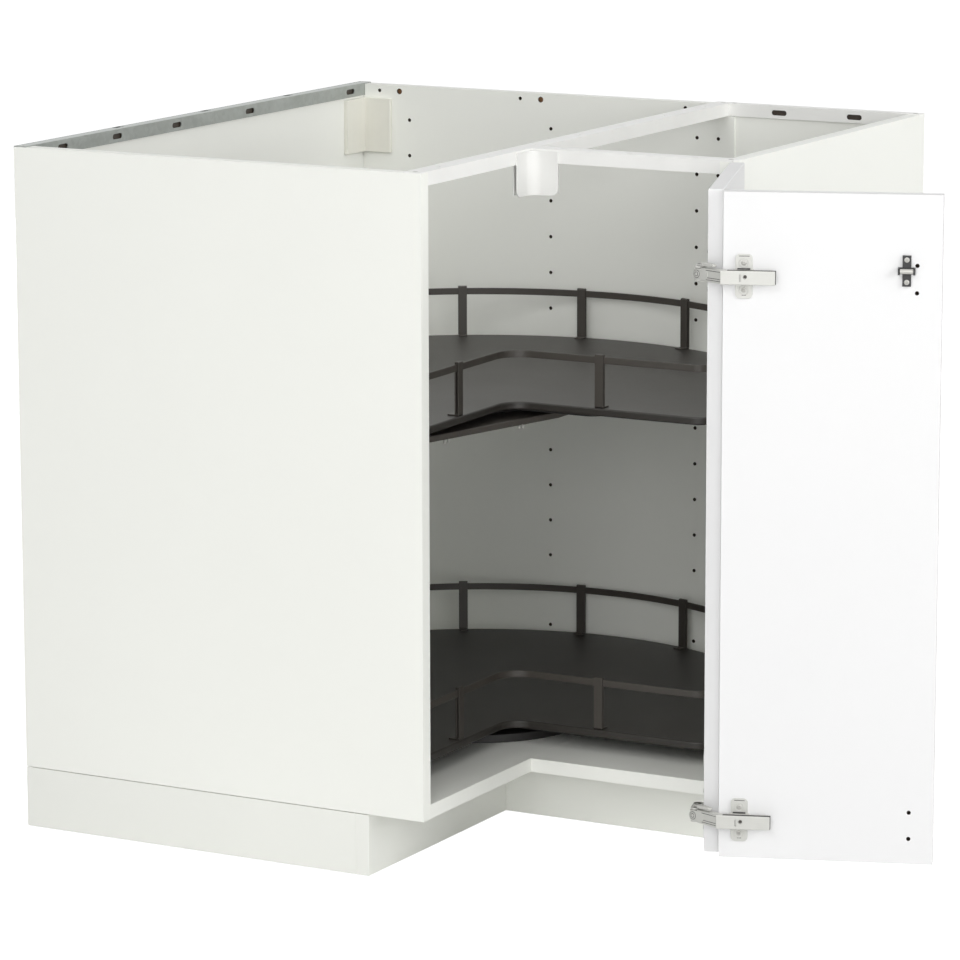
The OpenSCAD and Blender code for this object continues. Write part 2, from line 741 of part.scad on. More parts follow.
// Hinge plates: length along the door's edge, width and thickness
hinge_plate_l = 52;
hinge_plate_w = 20;
hinge_plate_t = 2;
module cabinet_hinge_plates() color(nickel) at_hinges() difference() {
  translate([inner, arm_y - hinge_plate_w / 2, -hinge_plate_l / 2]) rotate([0, -90, 0])
    linear_extrude(hinge_plate_t) round_rect(hinge_plate_l, hinge_plate_w, 6);
  for (s = [-1, 1]) translate([inner - 3, arm_y, s * plate_screw_pitch / 2])
    rotate([0, 90, 0]) cylinder(r = plate_screw_r + 0.1, h = 4);
}

// The arm runs from the nose to the plate's screw line and on, in front of and behind the edge of the panel
cabinet_arm_near = 13;
cabinet_arm_far = 66;
cabinet_arm_half = 8;
cabinet_arm_wall = 2;
arm_top_x = inner - 13;
module cabinet_hinge_arms() color(nickel) at_hinges() {
  arc_plate(nose_r, 141, 200, 8);
  difference() {
    span([arm_top_x, -wing_d + cabinet_arm_near, -cabinet_arm_half],
         [inner - hinge_plate_t, -wing_d + cabinet_arm_far, cabinet_arm_half]);
    span([arm_top_x + cabinet_arm_wall, -wing_d + cabinet_arm_near - 2, cabinet_arm_wall - cabinet_arm_half],
         [inner - hinge_plate_t - cabinet_arm_wall, -wing_d + cabinet_arm_far + 2, cabinet_arm_half - cabinet_arm_wall]);
  }
}

module cabinet_hinge_links() color(nickel) rotate_links() at_hinges() arc_plate(link_r, 141, 204, 7);

// At rest the links have made half of the door's turn
module rotate_links() translate([swing_axis[0], swing_axis[1], 0]) rotate(swing_rest / 2)
  translate([-swing_axis[0], -swing_axis[1], 0]) children();

module cabinet_hinge_cups() color(nickel) at_rest() at_hinges() {
  translate([cabinet_cup_x, -door_in, 0]) hinge_cup();
  arc_plate(neck_r, 151, 210, 6);
}

// ---- corner hinges between the doors ----

knuckle_r = 6;
cheek_in = 6.5;
cheek_t = 2;
fold_pin_r = 2.5;
elbow = [corner_cup_x - 6, fold_pin[1] - 1];
cheek_foot = [corner_cup_x - 4, -door_in - 8.2];
module corner_hinge_cups() color(nickel) at_rest() at_hinges() {
  translate([corner_cup_x, -door_in, 0]) hinge_cup();
  for (s = [-1, 1]) translate([0, 0, s * (cheek_in + cheek_t / 2) - cheek_t / 2])
    difference() {
      linear_extrude(cheek_t) {
        bar2d(fold_pin, elbow, knuckle_r - 1);
        bar2d(elbow, cheek_foot, knuckle_r - 1.5);
      }
      translate([fold_pin[0], fold_pin[1], -1]) cylinder(r = fold_pin_r + 0.02, h = cheek_t + 2);
    }
  translate([0, 0, -cheek_in - 0.5]) linear_extrude(2 * cheek_in + 1) difference() {
    bar2d(elbow, cheek_foot, knuckle_r - 2.2);
    translate([fold_pin[0], fold_pin[1]]) circle(14);
  }
}

module corner_hinge_pins() color(steel) at_rest() at_hinges()
  translate([fold_pin[0], fold_pin[1], -cheek_in - cheek_t]) cylinder(r = fold_pin_r, h = 2 * (cheek_in + cheek_t));

arm_start = -door_end + 2;
arm_end = -door_end - 59;
arm_high = 14;
arm_half = 7;
tongue_root = [door_in - arm_high + 6, arm_start - 3];
module corner_hinge_arms() color(nickel) at_rest() at_hinges() {
  difference() {
    translate([0, 0, -cheek_in + 0.5]) linear_extrude(2 * cheek_in - 1) {
      bar2d(fold_pin, tongue_root, knuckle_r - 1);
    }
    translate([fold_pin[0], fold_pin[1], -10]) cylinder(r = fold_pin_r + 0.05, h = 20);
  }
  difference() {
    span([door_in - arm_high, arm_end, -arm_half], [door_in - 2, arm_start - 4, arm_half]);
    span([door_in - arm_high + 2, arm_end - 1, -arm_half + 1.5], [door_in - 1, arm_start - 16, arm_half - 1.5]);
  }
}

cover_half = 8.2;
module corner_hinge_covers() color(nickel) at_rest() at_hinges() difference() {
  span([door_in - arm_high - 1.5, arm_end - 3, -cover_half], [door_in - arm_high + 4, arm_start, cover_half]);
  span([door_in - arm_high, arm_end - 0.5, -arm_half - 0.05], [door_in, arm_start + 1, arm_half + 0.05]);
}

corner_plate_s = 24.5;
module corner_hinge_plates() color(nickel) at_rest() at_hinges() difference() {
  translate([door_in, -door_end - corner_plate_s - hinge_plate_w / 2, -hinge_plate_l / 2]) rotate([0, -90, 0])
    linear_extrude(hinge_plate_t) round_rect(hinge_plate_l, hinge_plate_w, 5);
  for (s = [-1, 1]) translate([door_in - 3, -door_end - corner_plate_s, s * plate_screw_pitch / 2])
    rotate([0, 90, 0]) cylinder(r = plate_screw_r + 0.1, h = 4);
}

// A screw along +X: head at x = 0 and shank behind it
module plate_screw(l) rotate([0, 90, 0]) {
  cylinder(r = plate_screw_r - 0.6, h = l);
  translate([0, 0, -1.6]) difference() {
    cylinder(r = 4, h = 1.6);
    translate([0, 0, -0.2]) linear_extrude(1) for (a = [0, 90]) rotate(a) square([4.4, 1], center = true);
  }
}

module hinge_screws_cabinet() color(steel) at_hinges() for (s = [-1, 1])
  translate([inner - hinge_plate_t, arm_y, s * plate_screw_pitch / 2]) plate_screw(10);

module hinge_screws_free_door() color(steel) at_rest() at_hinges() for (s = [-1, 1])
  translate([door_in - hinge_plate_t, -door_end - corner_plate_s, s * plate_screw_pitch / 2])
    plate_screw(hinge_plate_t - 0.05);

module hinge_screws_inner_door() color(steel) at_rest() at_hinges()
  for (x = [cabinet_cup_x, corner_cup_x], s = [-1, 1])
    translate([x, -door_in + flange_t, s * 22.5]) rotate(-90) plate_screw(flange_t - 0.05);

// ---- catch near the free edge ----

catch_y = -door_end - catch_s;
catch_h = 36;
catch_w = 10;
catch_ear = 9;
roller_r = 3;
roller_x = door_in - 6;
module catch_bracket() color(black) at_rest() translate([0, catch_y, catch_z]) difference() {
  union() {
    span([door_in - 3, -catch_w / 2, -catch_h / 2], [door_in, catch_w / 2, catch_h / 2]);
    for (s = [-1, 1]) translate([0, s * catch_ear - 1, -4]) span([roller_x - 3, 0, 0], [door_in, 2, 8]);
    span([door_in - 1.5, -catch_ear - 1, -4], [door_in, catch_ear + 1, 4]);
  }
  translate([roller_x, -20, 0]) rotate([-90, 0, 0]) cylinder(r = 1.25, h = 40);
  span([roller_x - 4, -catch_ear + 1, -4.5], [roller_x + roller_r + 0.5, catch_ear - 1, 4.5]);
}

module catch_roller() color(steel) at_rest() translate([roller_x, catch_y, catch_z]) rotate([-90, 0, 0]) {
  translate([0, 0, -catch_ear + 1.3]) cylinder(r = roller_r, h = 2 * catch_ear - 2.6);
  translate([0, 0, -catch_ear - 1]) cylinder(r = 1.2, h = 2 * catch_ear + 2);
}

module catch_screws() color(steel) at_rest() translate([door_in - 3, catch_y, catch_z])
  for (s = [-1, 1]) translate([0, 0, s * 13]) rotate([0, -90, 0]) difference() {
    cylinder(r = 3, h = 1.6);
    translate([0, 0, 1]) linear_extrude(1) for (a = [0, 90]) rotate(a) square([3.4, 0.8], center = true);
  }

left_side_panel();
right_side_panel();
back_side_panel();
dowels();
rear_panel_left();
rear_panel_right();
bottom_panel_main();
bottom_panel_wing();
rear_rail_left();
rear_rail_right();
front_rail_long();
front_rail_short();
rail_screws();
rail_corner_cover();
rear_corner_angle();
leg_tubes();
foot_1();
foot_2();
foot_3();
foot_4();
foot_5();
foot_6();
plinth_side();
plinth_front_left();
plinth_front_right();
plinth_clips();
support_beam();
beam_brackets();
beam_screws();
upper_turntable_base();
lower_turntable_base();
upper_turntable_plate();
lower_turntable_plate();
upper_shelf();
lower_shelf();
upper_guard_strip();
lower_guard_strip();
upper_guard_posts();
lower_guard_posts();
cabinet_hinge_plates();
cabinet_hinge_arms();
cabinet_hinge_links();
cabinet_hinge_cups();
door_hinge_side();
door_free_side();
corner_hinge_cups();
corner_hinge_pins();
corner_hinge_arms();
corner_hinge_covers();
corner_hinge_plates();
hinge_screws_cabinet();
hinge_screws_inner_door();
hinge_screws_free_door();
catch_bracket();
catch_roller();
catch_screws();
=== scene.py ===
"""Corner base cabinet with two revolving three-quarter round shelves and a folding pair of corner doors.

The file is laid out as an add-on and run as a script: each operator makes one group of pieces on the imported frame.
Lengths are in metres; a length written in millimetres is multiplied by MM.
"""

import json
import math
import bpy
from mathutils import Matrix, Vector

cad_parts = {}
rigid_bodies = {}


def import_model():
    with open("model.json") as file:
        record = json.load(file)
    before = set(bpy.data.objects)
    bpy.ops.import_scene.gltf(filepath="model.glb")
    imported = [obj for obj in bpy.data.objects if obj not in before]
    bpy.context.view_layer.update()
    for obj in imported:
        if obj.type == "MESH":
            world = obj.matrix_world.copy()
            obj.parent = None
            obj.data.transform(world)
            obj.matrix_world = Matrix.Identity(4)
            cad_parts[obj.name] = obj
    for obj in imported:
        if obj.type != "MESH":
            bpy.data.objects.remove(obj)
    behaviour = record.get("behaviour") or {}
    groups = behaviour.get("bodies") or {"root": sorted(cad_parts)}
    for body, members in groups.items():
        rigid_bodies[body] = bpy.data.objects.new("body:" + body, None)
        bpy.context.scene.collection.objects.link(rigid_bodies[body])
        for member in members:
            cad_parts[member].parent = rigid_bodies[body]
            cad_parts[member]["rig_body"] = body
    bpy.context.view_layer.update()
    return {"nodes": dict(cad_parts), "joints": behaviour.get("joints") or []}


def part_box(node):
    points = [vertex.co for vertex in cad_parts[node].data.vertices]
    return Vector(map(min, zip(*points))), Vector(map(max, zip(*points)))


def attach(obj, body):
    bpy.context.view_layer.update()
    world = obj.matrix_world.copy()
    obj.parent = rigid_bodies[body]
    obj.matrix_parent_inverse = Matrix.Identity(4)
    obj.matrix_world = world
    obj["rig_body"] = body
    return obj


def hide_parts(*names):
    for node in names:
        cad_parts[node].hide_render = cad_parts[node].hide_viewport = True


bl_info = {
    "name": "Corner carousel cabinet",
    "version": (1, 0, 0),
    "blender": (4, 5, 0),
    "location": "3D View > Sidebar > Cabinet",
    "description": "Builds a corner base cabinet with revolving shelves and folding doors, piece by piece",
    "category": "Object",
}

import bmesh
import bpy
from bpy.props import FloatProperty, FloatVectorProperty, IntProperty, PointerProperty
from mathutils import Matrix, Vector

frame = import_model()

MM = 0.001
JOINTS = {joint["name"]: joint for joint in frame["joints"]}
SWING = Vector(JOINTS["door_swing"]["pos_m"])
FOLD = Vector(JOINTS["door_fold"]["pos_m"])
SPINDLE = Vector(JOINTS["upper_carousel_turn"]["pos_m"])
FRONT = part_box("front_rail_long")[1].x
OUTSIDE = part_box("right_side_panel")[1].x
# closed doors: inner face, then the gap between the free door's outer face and the edge of the door beside it
DOOR_IN = FRONT + 3 * MM
DOOR_END = DOOR_IN + 20 * MM
HINGE_HEIGHTS = (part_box("corner_hinge_plates")[0].z + 26 * MM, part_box("corner_hinge_plates")[1].z - 26 * MM)
# the doors are drawn closed and turned by this much to the rest pose
OPENED = -math.radians(JOINTS["door_swing"]["range_deg"][0])


def opened(share=1.0):
    """Carries a shape from the closed doors to the rest pose, or part of the way."""
    at = Matrix.Translation(Vector((SWING.x, SWING.y, 0)))
    return at @ Matrix.Rotation(OPENED * share, 4, "Z") @ at.inverted()


def shade(red, green, blue):
    """A display colour of 0 to 255 as the linear colour that a shader takes."""
    def linear(v):
        v /= 255
        return v / 12.92 if v <= 0.04045 else ((v + 0.055) / 1.055) ** 2.4
    return linear(red), linear(green), linear(blue)


# ---- node sheets: one wrapper for shader and geometry trees ----


class Wire:
    """A socket that reads as a number; each sign in an expression adds its Math node."""

    def __init__(self, sheet, socket):
        self.sheet, self.socket = sheet, socket

    def maths(self, operation, *values):
        return self.sheet.add("ShaderNodeMath", {"operation": operation}, list(values))[0]

    def __add__(self, other):
        return self.maths("ADD", self, other)

    def __sub__(self, other):
        return self.maths("SUBTRACT", self, other)

    def __rsub__(self, other):
        return self.maths("SUBTRACT", other, self)

    def __mul__(self, other):
        return self.maths("MULTIPLY", self, other)

    def __gt__(self, other):
        return self.maths("GREATER_THAN", self, other)

    __radd__ = __add__
    __rmul__ = __mul__

    def ramp(self, low, high):
        """0 below low and 1 above high, smooth between them."""
        return self.sheet.add("ShaderNodeMapRange", {"interpolation_type": "SMOOTHSTEP"},
                              {"Value": self, "From Min": low, "From Max": high})["Result"]


class Step:
    """A node just added; its outputs are taken by name or number."""

    def __init__(self, sheet, node):
        self.sheet, self.node = sheet, node

    def __getitem__(self, name):
        return Wire(self.sheet, self.node.outputs[name])


class Sheet:
    """A node tree that nodes are added to."""

    def __init__(self, tree):
        self.tree = tree

    def add(self, kind, settings=None, values=None):
        node = self.tree.nodes.new(kind)
        for key, value in (settings or {}).items():
            if key == "stops":
                marks = node.color_ramp.elements
                while len(marks) < len(value):
                    marks.new(1.0)
                for mark, (place, colour) in zip(marks, value):
                    mark.position, mark.color = place, (*colour, 1.0)
            else:
                setattr(node, key, value)
        pairs = enumerate(values) if isinstance(values, list) else (values or {}).items()
        for key, value in pairs:
            if isinstance(value, Wire):
                self.tree.links.new(value.socket, node.inputs[key])
            else:
                node.inputs[key].default_value = value
        return Step(self, node)


class Finish(Sheet):
    """A material sheet with its surface shader and the few textures that the finishes share."""

    def __init__(self, name, colour, roughness, metallic=0.0, coat=0.0, coat_roughness=0.1):
        self.material = bpy.data.materials.new(name)
        self.material.use_nodes = True
        super().__init__(self.material.node_tree)
        self.tree.nodes.clear()
        self.surface = self.add("ShaderNodeBsdfPrincipled", None, {
            "Base Color": (*colour, 1.0), "Roughness": roughness, "Metallic": metallic,
            "Coat Weight": coat, "Coat Roughness": coat_roughness,
        })
        self.add("ShaderNodeOutputMaterial", None, {"Surface": self.surface["BSDF"]})
        self.place = self.add("ShaderNodeTexCoord")["Object"]
        self.material.diffuse_color = (*colour, 1.0)

    def stretched(self, scale):
        return self.add("ShaderNodeMapping", None, {"Vector": self.place, "Scale": scale})["Vector"]

    def noise(self, scale, detail=2.0, rough=0.5, place=None):
        return self.add("ShaderNodeTexNoise", None, {
            "Vector": place or self.place, "Scale": scale, "Detail": detail, "Roughness": rough,
        })["Fac"]

    def blend(self, share, first, second):
        return self.add("ShaderNodeMix", {"data_type": "RGBA"},
                        {"Factor": share, 6: (*first, 1.0) if isinstance(first, tuple) else first,
                         7: (*second, 1.0) if isinstance(second, tuple) else second})[2]

    def colour(self, wire):
        self.tree.links.new(wire.socket, self.surface.node.inputs["Base Color"])

    def roughness(self, wire):
        self.tree.links.new(wire.socket, self.surface.node.inputs["Roughness"])

    def relief(self, height, strength, distance):
        bump = self.add("ShaderNodeBump", None, {"Height": height, "Strength": strength, "Distance": distance})
        self.tree.links.new(bump["Normal"].socket, self.surface.node.inputs["Normal"])


def scaled(colour, factor):
    return tuple(min(1.0, c * factor) for c in colour)


def melamine(name, colour, pearl=0.5):
    """Melamine-faced or foil-wrapped board: a faint pearl grain and soft clouds of sheen."""
    f = Finish(name, colour, 0.4, coat=0.06, coat_roughness=0.3)
    clouds = f.noise(3.1, 3.0)
    f.colour(f.blend(clouds, scaled(colour, 0.982), scaled(colour, 1.012)))
    f.roughness(f.noise(11.0, 4.0) * 0.12 + 0.34)
    grain = f.noise(1300.0, 1.0) * 0.7 + f.noise(260.0, 2.0) * 0.3
    f.relief(grain, 0.1 * pearl, 0.2 * MM)
    return f.material


def rear_sheet(name, colour):
    """White-faced hardboard, left raw and brown along its top, behind the rails, that band made dark as painted shade
    for the slots in the rails.
    """
    f = Finish(name, colour, 0.45)
    # painted shade: above the rail's lower edge the face turns dark brown, partly raw hardboard and partly the shade
    # seen through the rail's slots
    raw_shaded_band = f.add("ShaderNodeSeparateXYZ", None, {"Vector": f.place})["Z"]
    raw_shaded_band = raw_shaded_band.ramp(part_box("rear_rail_left")[0].z + 1 * MM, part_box("rear_rail_left")[0].z + 1.6 * MM)
    fibre = f.noise(340.0, 4.0)
    face = f.blend(f.noise(4.0, 3.0), scaled(colour, 0.985), scaled(colour, 1.01))
    brown_shade = f.blend(fibre, shade(34, 28, 22), shade(62, 50, 38))
    f.colour(f.blend(raw_shaded_band, face, brown_shade))
    f.relief(f.noise(900.0, 2.0), 0.08, 0.2 * MM)
    return f.material


def chipboard(name, colour):
    """Raw chipboard inside a drilled hole: glued flakes of uneven tone."""
    f = Finish(name, colour, 0.9)
    flake = f.add("ShaderNodeTexVoronoi", {"feature": "F1"}, {"Vector": f.place, "Scale": 620.0})
    tone = f.add("ShaderNodeSeparateColor", None, {"Color": flake["Color"]})["Red"]
    f.colour(f.blend(tone, scaled(colour, 0.55), scaled(colour, 1.3)))
    f.relief(flake["Distance"], 0.6, 0.5 * MM)
    return f.material


def galvanised(name, colour):
    """Hot-dip zinc: crystals a few millimetres across, each with its own tone and gloss."""
    f = Finish(name, colour, 0.42, metallic=0.85)
    crystal = f.add("ShaderNodeTexVoronoi", {"feature": "F1"}, {"Vector": f.place, "Scale": 170.0})
    tone = f.add("ShaderNodeSeparateColor", None, {"Color": crystal["Color"]})["Green"]
    haze = f.noise(24.0, 4.0)
    f.colour(f.blend(tone * 0.6 + haze * 0.4, scaled(colour, 0.86), scaled(colour, 1.14)))
    f.roughness(tone * 0.16 + haze * 0.12 + 0.3)
    f.relief(crystal["Distance"], 0.05, 0.2 * MM)
    return f.material


def powder_coat(name, colour, grain=1.0, gloss=0.44):
    """Powder-coated steel: an even satin skin with fine orange peel."""
    f = Finish(name, colour, gloss, coat=0.05, coat_roughness=0.3)
    peel = f.noise(620.0, 2.0)
    f.colour(f.blend(f.noise(14.0, 3.0), scaled(colour, 0.94), scaled(colour, 1.07)))
    f.roughness(f.noise(60.0, 3.0) * 0.12 + (gloss - 0.05))
    f.relief(peel, 0.16 * grain, 0.25 * MM)
    return f.material


def plated(name, colour, gloss=0.3, streak=(30.0, 30.0, 900.0)):
    """Satin nickel or zinc plate over pressed steel: soft drawing marks under the plate."""
    f = Finish(name, colour, gloss, metallic=0.3)
    marks = f.noise(1.0, 3.0, place=f.stretched(streak))
    cloud = f.noise(70.0, 3.0)
    f.colour(f.blend(cloud * 0.5 + marks * 0.5, scaled(colour, 0.9), scaled(colour, 1.06)))
    f.roughness(marks * 0.12 + cloud * 0.1 + (gloss - 0.08))
    f.relief(marks, 0.04, 0.1 * MM)
    return f.material


def moulded(name, colour, gloss=0.45, grain=1.0):
    """Injection-moulded plastic with a fine spark-eroded grain."""
    f = Finish(name, colour, gloss)
    spark = f.noise(1500.0, 2.0)
    f.colour(f.blend(f.noise(18.0, 3.0), scaled(colour, 0.93), scaled(colour, 1.06)))
    f.roughness(spark * 0.1 + f.noise(30.0, 2.0) * 0.08 + (gloss - 0.08))
    f.relief(spark, 0.12 * grain, 0.15 * MM)
    return f.material


def laminate(name, colour):
    """Dark laminate with a pebbled anti-slip skin and a faint fleck."""
    f = Finish(name, colour, 0.5, coat=0.08, coat_roughness=0.4)
    fleck = f.noise(900.0, 2.0).ramp(0.56, 0.74)
    cloud = f.noise(6.0, 4.0)
    body = f.blend(cloud, scaled(colour, 0.93), scaled(colour, 1.07))
    f.colour(f.add("ShaderNodeMix", {"data_type": "RGBA"},
                   {"Factor": fleck * 0.35, 6: body, 7: (*scaled(colour, 1.5), 1.0)})[2])
    f.roughness(cloud * 0.1 + fleck * 0.08 + 0.42)
    f.relief(f.noise(420.0, 3.0), 0.14, 0.2 * MM)
    return f.material


def raw_wood(name, colour):
    """End grain of a glued hardwood dowel."""
    f = Finish(name, colour, 0.8)
    rings = f.noise(1.0, 4.0, place=f.stretched((900.0, 60.0, 900.0)))
    f.colour(f.blend(rings.ramp(0.3, 0.7), scaled(colour, 0.6), scaled(colour, 1.25)))
    f.relief(rings, 0.3, 0.2 * MM)
    return f.material


FINISHES = {
    "white_board": (melamine, {}), "plinth_board": (melamine, {}), "door_foil": (melamine, {"pearl": 0.4}),
    "chipboard": (chipboard, {}), "galvanised": (galvanised, {}),
    "white_coat": (powder_coat, {"grain": 0.5, "gloss": 0.36}), "dark_coat": (powder_coat, {"gloss": 0.46}),
    "black_coat": (powder_coat, {"gloss": 0.5}), "nickel": (plated, {"gloss": 0.42}), "beam_coat": (powder_coat, {"gloss": 0.4}), "rear_sheet": (rear_sheet, {}),
    "zinc": (plated, {"gloss": 0.34, "streak": (400.0, 400.0, 400.0)}),
    "white_plastic": (moulded, {"gloss": 0.6, "grain": 0.3}), "cream_plastic": (moulded, {"gloss": 0.42}),
    "black_plastic": (moulded, {}), "dark_laminate": (laminate, {}), "raw_wood": (raw_wood, {}),
}


def finish(name):
    """The named finish, made the first time that it is asked for; the frame's own materials keep their names."""
    title = name + "_finish"
    made = bpy.data.materials.get(title)
    if made is None:
        maker, options = FINISHES[name]
        made = maker(title, tuple(getattr(bpy.context.scene.cabinet_colours, name)), **options)
    return made


# ---- mesh tools ----


class Blank:
    """Gathers solids in one bmesh."""

    def __init__(self):
        self.bm = bmesh.new()

    def prism(self, points, low, high, place=Matrix()):
        """A straight solid over an outline in the XY plane."""
        rings = [[self.bm.verts.new(place @ Vector((x, y, z))) for x, y in points] for z in (low, high)]
        self.bm.faces.new(rings[0][::-1])
        self.bm.faces.new(rings[1])
        for i, a in enumerate(points):
            j = (i + 1) % len(points)
            self.bm.faces.new((rings[0][i], rings[0][j], rings[1][j], rings[1][i]))
        return self

    def block(self, low, high, place=Matrix()):
        (x0, y0, z0), (x1, y1, z1) = low, high
        return self.prism([(x0, y0), (x1, y0), (x1, y1), (x0, y1)], z0, z1, place)

    def turned(self, profile, place=Matrix(), steps=48):
        """A solid turned about Z from a profile of (radius, height) that starts and ends on the axis."""
        rows = []
        for r, z in profile:
            if r < 1e-9:
                rows.append([self.bm.verts.new(place @ Vector((0, 0, z)))])
            else:
                rows.append([self.bm.verts.new(place @ Vector((r * math.cos(a), r * math.sin(a), z)))
                             for a in (2 * math.pi * k / steps for k in range(steps))])
        for one, two in zip(rows, rows[1:]):
            for k in range(steps):
                n = (k + 1) % steps
                ring = [one[k % len(one)], one[n % len(one)], two[n % len(two)], two[k % len(two)]]
                ring = [v for i, v in enumerate(ring) if v not in ring[:i]]
                if len(ring) > 2:
                    self.bm.faces.new(ring)
        return self

    def tube(self, path, radius, place=Matrix(), steps=10):
        """A round bar along a path, with closed ends."""
        rows = []
        for i, p in enumerate(path):
            here = Vector(p)
            ahead = (Vector(path[min(i + 1, len(path) - 1)]) - Vector(path[max(i - 1, 0)])).normalized()
            side = ahead.cross(Vector((0, 0, 1)) if abs(ahead.z) < 0.9 else Vector((1, 0, 0))).normalized()
            up = side.cross(ahead)
            rows.append([self.bm.verts.new(place @ (here + radius * (math.cos(a) * side + math.sin(a) * up)))
                         for a in (2 * math.pi * k / steps for k in range(steps))])
        for one, two in zip(rows, rows[1:]):
            for k in range(steps):
                n = (k + 1) % steps
                self.bm.faces.new((one[k], one[n], two[n], two[k]))
        self.bm.faces.new(rows[0])
        self.bm.faces.new(rows[-1][::-1])
        return self

    def mesh(self, name, matrix=Matrix()):
        bmesh.ops.recalc_face_normals(self.bm, faces=self.bm.faces)
        self.bm.transform(matrix)
        made = bpy.data.meshes.new(name)
        self.bm.to_mesh(made)
        self.bm.free()
        return made


def round_box(width, height, radius, steps=5):
    """Outline of a rectangle with round corners, from its middle."""
    points = []
    for sx, sy, start in ((1, 1, 0), (-1, 1, 90), (-1, -1, 180), (1, -1, 270)):
        cx, cy = sx * (width / 2 - radius), sy * (height / 2 - radius)
        for k in range(steps + 1):
            a = math.radians(start + 90 * k / steps)
            points.append((cx + radius * math.cos(a), cy + radius * math.sin(a)))
    return points


def stadium(p, q, radius, steps=10):
    """Outline of a bar with round ends."""
    a = math.atan2(q[1] - p[1], q[0] - p[0])
    turn = [math.pi * k / steps for k in range(steps + 1)]
    return ([(p[0] + radius * math.cos(a + math.pi / 2 + t), p[1] + radius * math.sin(a + math.pi / 2 + t)) for t in turn]
            + [(q[0] + radius * math.cos(a - math.pi / 2 + t), q[1] + radius * math.sin(a - math.pi / 2 + t)) for t in turn])


def bake(obj):
    """Turns an object and its modifiers into one plain mesh."""
    seen = bpy.context.evaluated_depsgraph_get()
    made = bpy.data.meshes.new_from_object(obj.evaluated_get(seen), preserve_all_data_layers=True, depsgraph=seen)
    obj.modifiers.clear()
    obj.data = made
    return obj


def stand(name, mesh):
    obj = bpy.data.objects.new(name, mesh)
    bpy.context.scene.collection.objects.link(obj)
    return obj


def softened(obj, radius, segments=2, angle=35.0):
    """Rounds the edges as a tool would, and keeps the flats flat."""
    for poly in obj.data.polygons:
        poly.use_smooth = True
    obj.data.set_sharp_from_angle(angle=math.radians(angle))
    if radius:
        bevel = obj.modifiers.new("edge", "BEVEL")
        bevel.width, bevel.segments, bevel.limit_method = radius, segments, "ANGLE"
        bevel.angle_limit, bevel.use_clamp_overlap = math.radians(angle), True
        even = obj.modifiers.new("flats", "WEIGHTED_NORMAL")
        even.keep_sharp = True
        bake(obj)
    return obj


def carved(obj, cutter, coat):
    """Cuts a solid away; the cut faces take their own finish."""
    cutter.materials.append(finish(coat))
    tool = stand("cutter", cutter)
    cut = obj.modifiers.new("cut", "BOOLEAN")
    cut.object, cut.solver, cut.material_mode = tool, "EXACT", "TRANSFER"
    bake(obj)
    bpy.data.objects.remove(tool)
    return obj


def settle(obj, body, coat, stands_for=()):
    """Gives a finished piece its body, its finish and the CAD nodes that it stands for."""
    if coat and not obj.data.materials:
        obj.data.materials.append(finish(coat))
    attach(obj, body)
    if stands_for:
        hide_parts(*stands_for)
    return obj


def shutting(node):
    """Carries a door's node back to the closed cabinet; leaves the others where they are."""
    return opened().inverted() if frame["nodes"][node]["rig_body"] in ("inner_door", "free_door") else Matrix()


def shut_box(node):
    """The node's box with the doors closed."""
    inverse = shutting(node)
    corners = [inverse @ v.co for v in frame["nodes"][node].data.vertices]
    return tuple(Vector([pick(c[i] for c in corners) for i in range(3)]) for pick in (min, max))


def copied(node):
    """A merged copy of a CAD node's mesh, its flats made one face each where they can be."""
    bm = bmesh.new()
    bm.from_mesh(frame["nodes"][node].data)
    bmesh.ops.remove_doubles(bm, verts=bm.verts, dist=0.002 * MM)
    bmesh.ops.dissolve_limit(bm, angle_limit=math.radians(0.4), verts=bm.verts, edges=bm.edges)
    mesh = bpy.data.meshes.new(node + "_copy")
    bm.to_mesh(mesh)
    bm.free()
    return mesh


def dressed(node, name, coat, radius=0.5 * MM, segments=2, lining=None):
    """A CAD node with rounded edges in its finish; faces inside its box, as in a drilled hole, take the lining."""
    obj = softened(stand(name, copied(node)), radius, segments)
    obj.data.materials.clear()
    obj.data.materials.append(finish(coat))
    if lining:
        obj.data.materials.append(finish(lining))
        inverse = shutting(node)
        low, high = shut_box(node)
        margin = 0.9 * MM
        for poly in obj.data.polygons:
            centre = inverse @ poly.center
            inside = all(low[i] + margin < centre[i] < high[i] - margin for i in range(3))
            poly.material_index = 1 if inside else 0
    return settle(obj, frame["nodes"][node]["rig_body"], coat if not obj.data.materials else None, (node,))


# ---- geometry node recipes ----


class Recipe(Sheet):
    """A geometry tree with named inputs that ends in Realize Instances and Set Material."""

    KINDS = {float: "NodeSocketFloat", int: "NodeSocketInt", Vector: "NodeSocketVector",
             bpy.types.Object: "NodeSocketObject", bpy.types.Material: "NodeSocketMaterial"}

    def __init__(self, name, **inputs):
        super().__init__(bpy.data.node_groups.new(name, "GeometryNodeTree"))
        face = self.tree.interface
        face.new_socket("Geometry", in_out="INPUT", socket_type="NodeSocketGeometry")
        face.new_socket("Geometry", in_out="OUTPUT", socket_type="NodeSocketGeometry")
        for label, kind in inputs.items():
            face.new_socket(label.replace("_", " "), in_out="INPUT", socket_type=self.KINDS[kind])
        face.new_socket("Coat", in_out="INPUT", socket_type="NodeSocketMaterial")
        self.given = self.add("NodeGroupInput")

    def ends(self, geometry):
        real = self.add("GeometryNodeRealizeInstances", None, {"Geometry": geometry})["Geometry"]
        coated = self.add("GeometryNodeSetMaterial", None, {"Geometry": real, "Material": self.given["Coat"]})
        self.add("NodeGroupOutput", None, [coated["Geometry"]])
        return self.tree


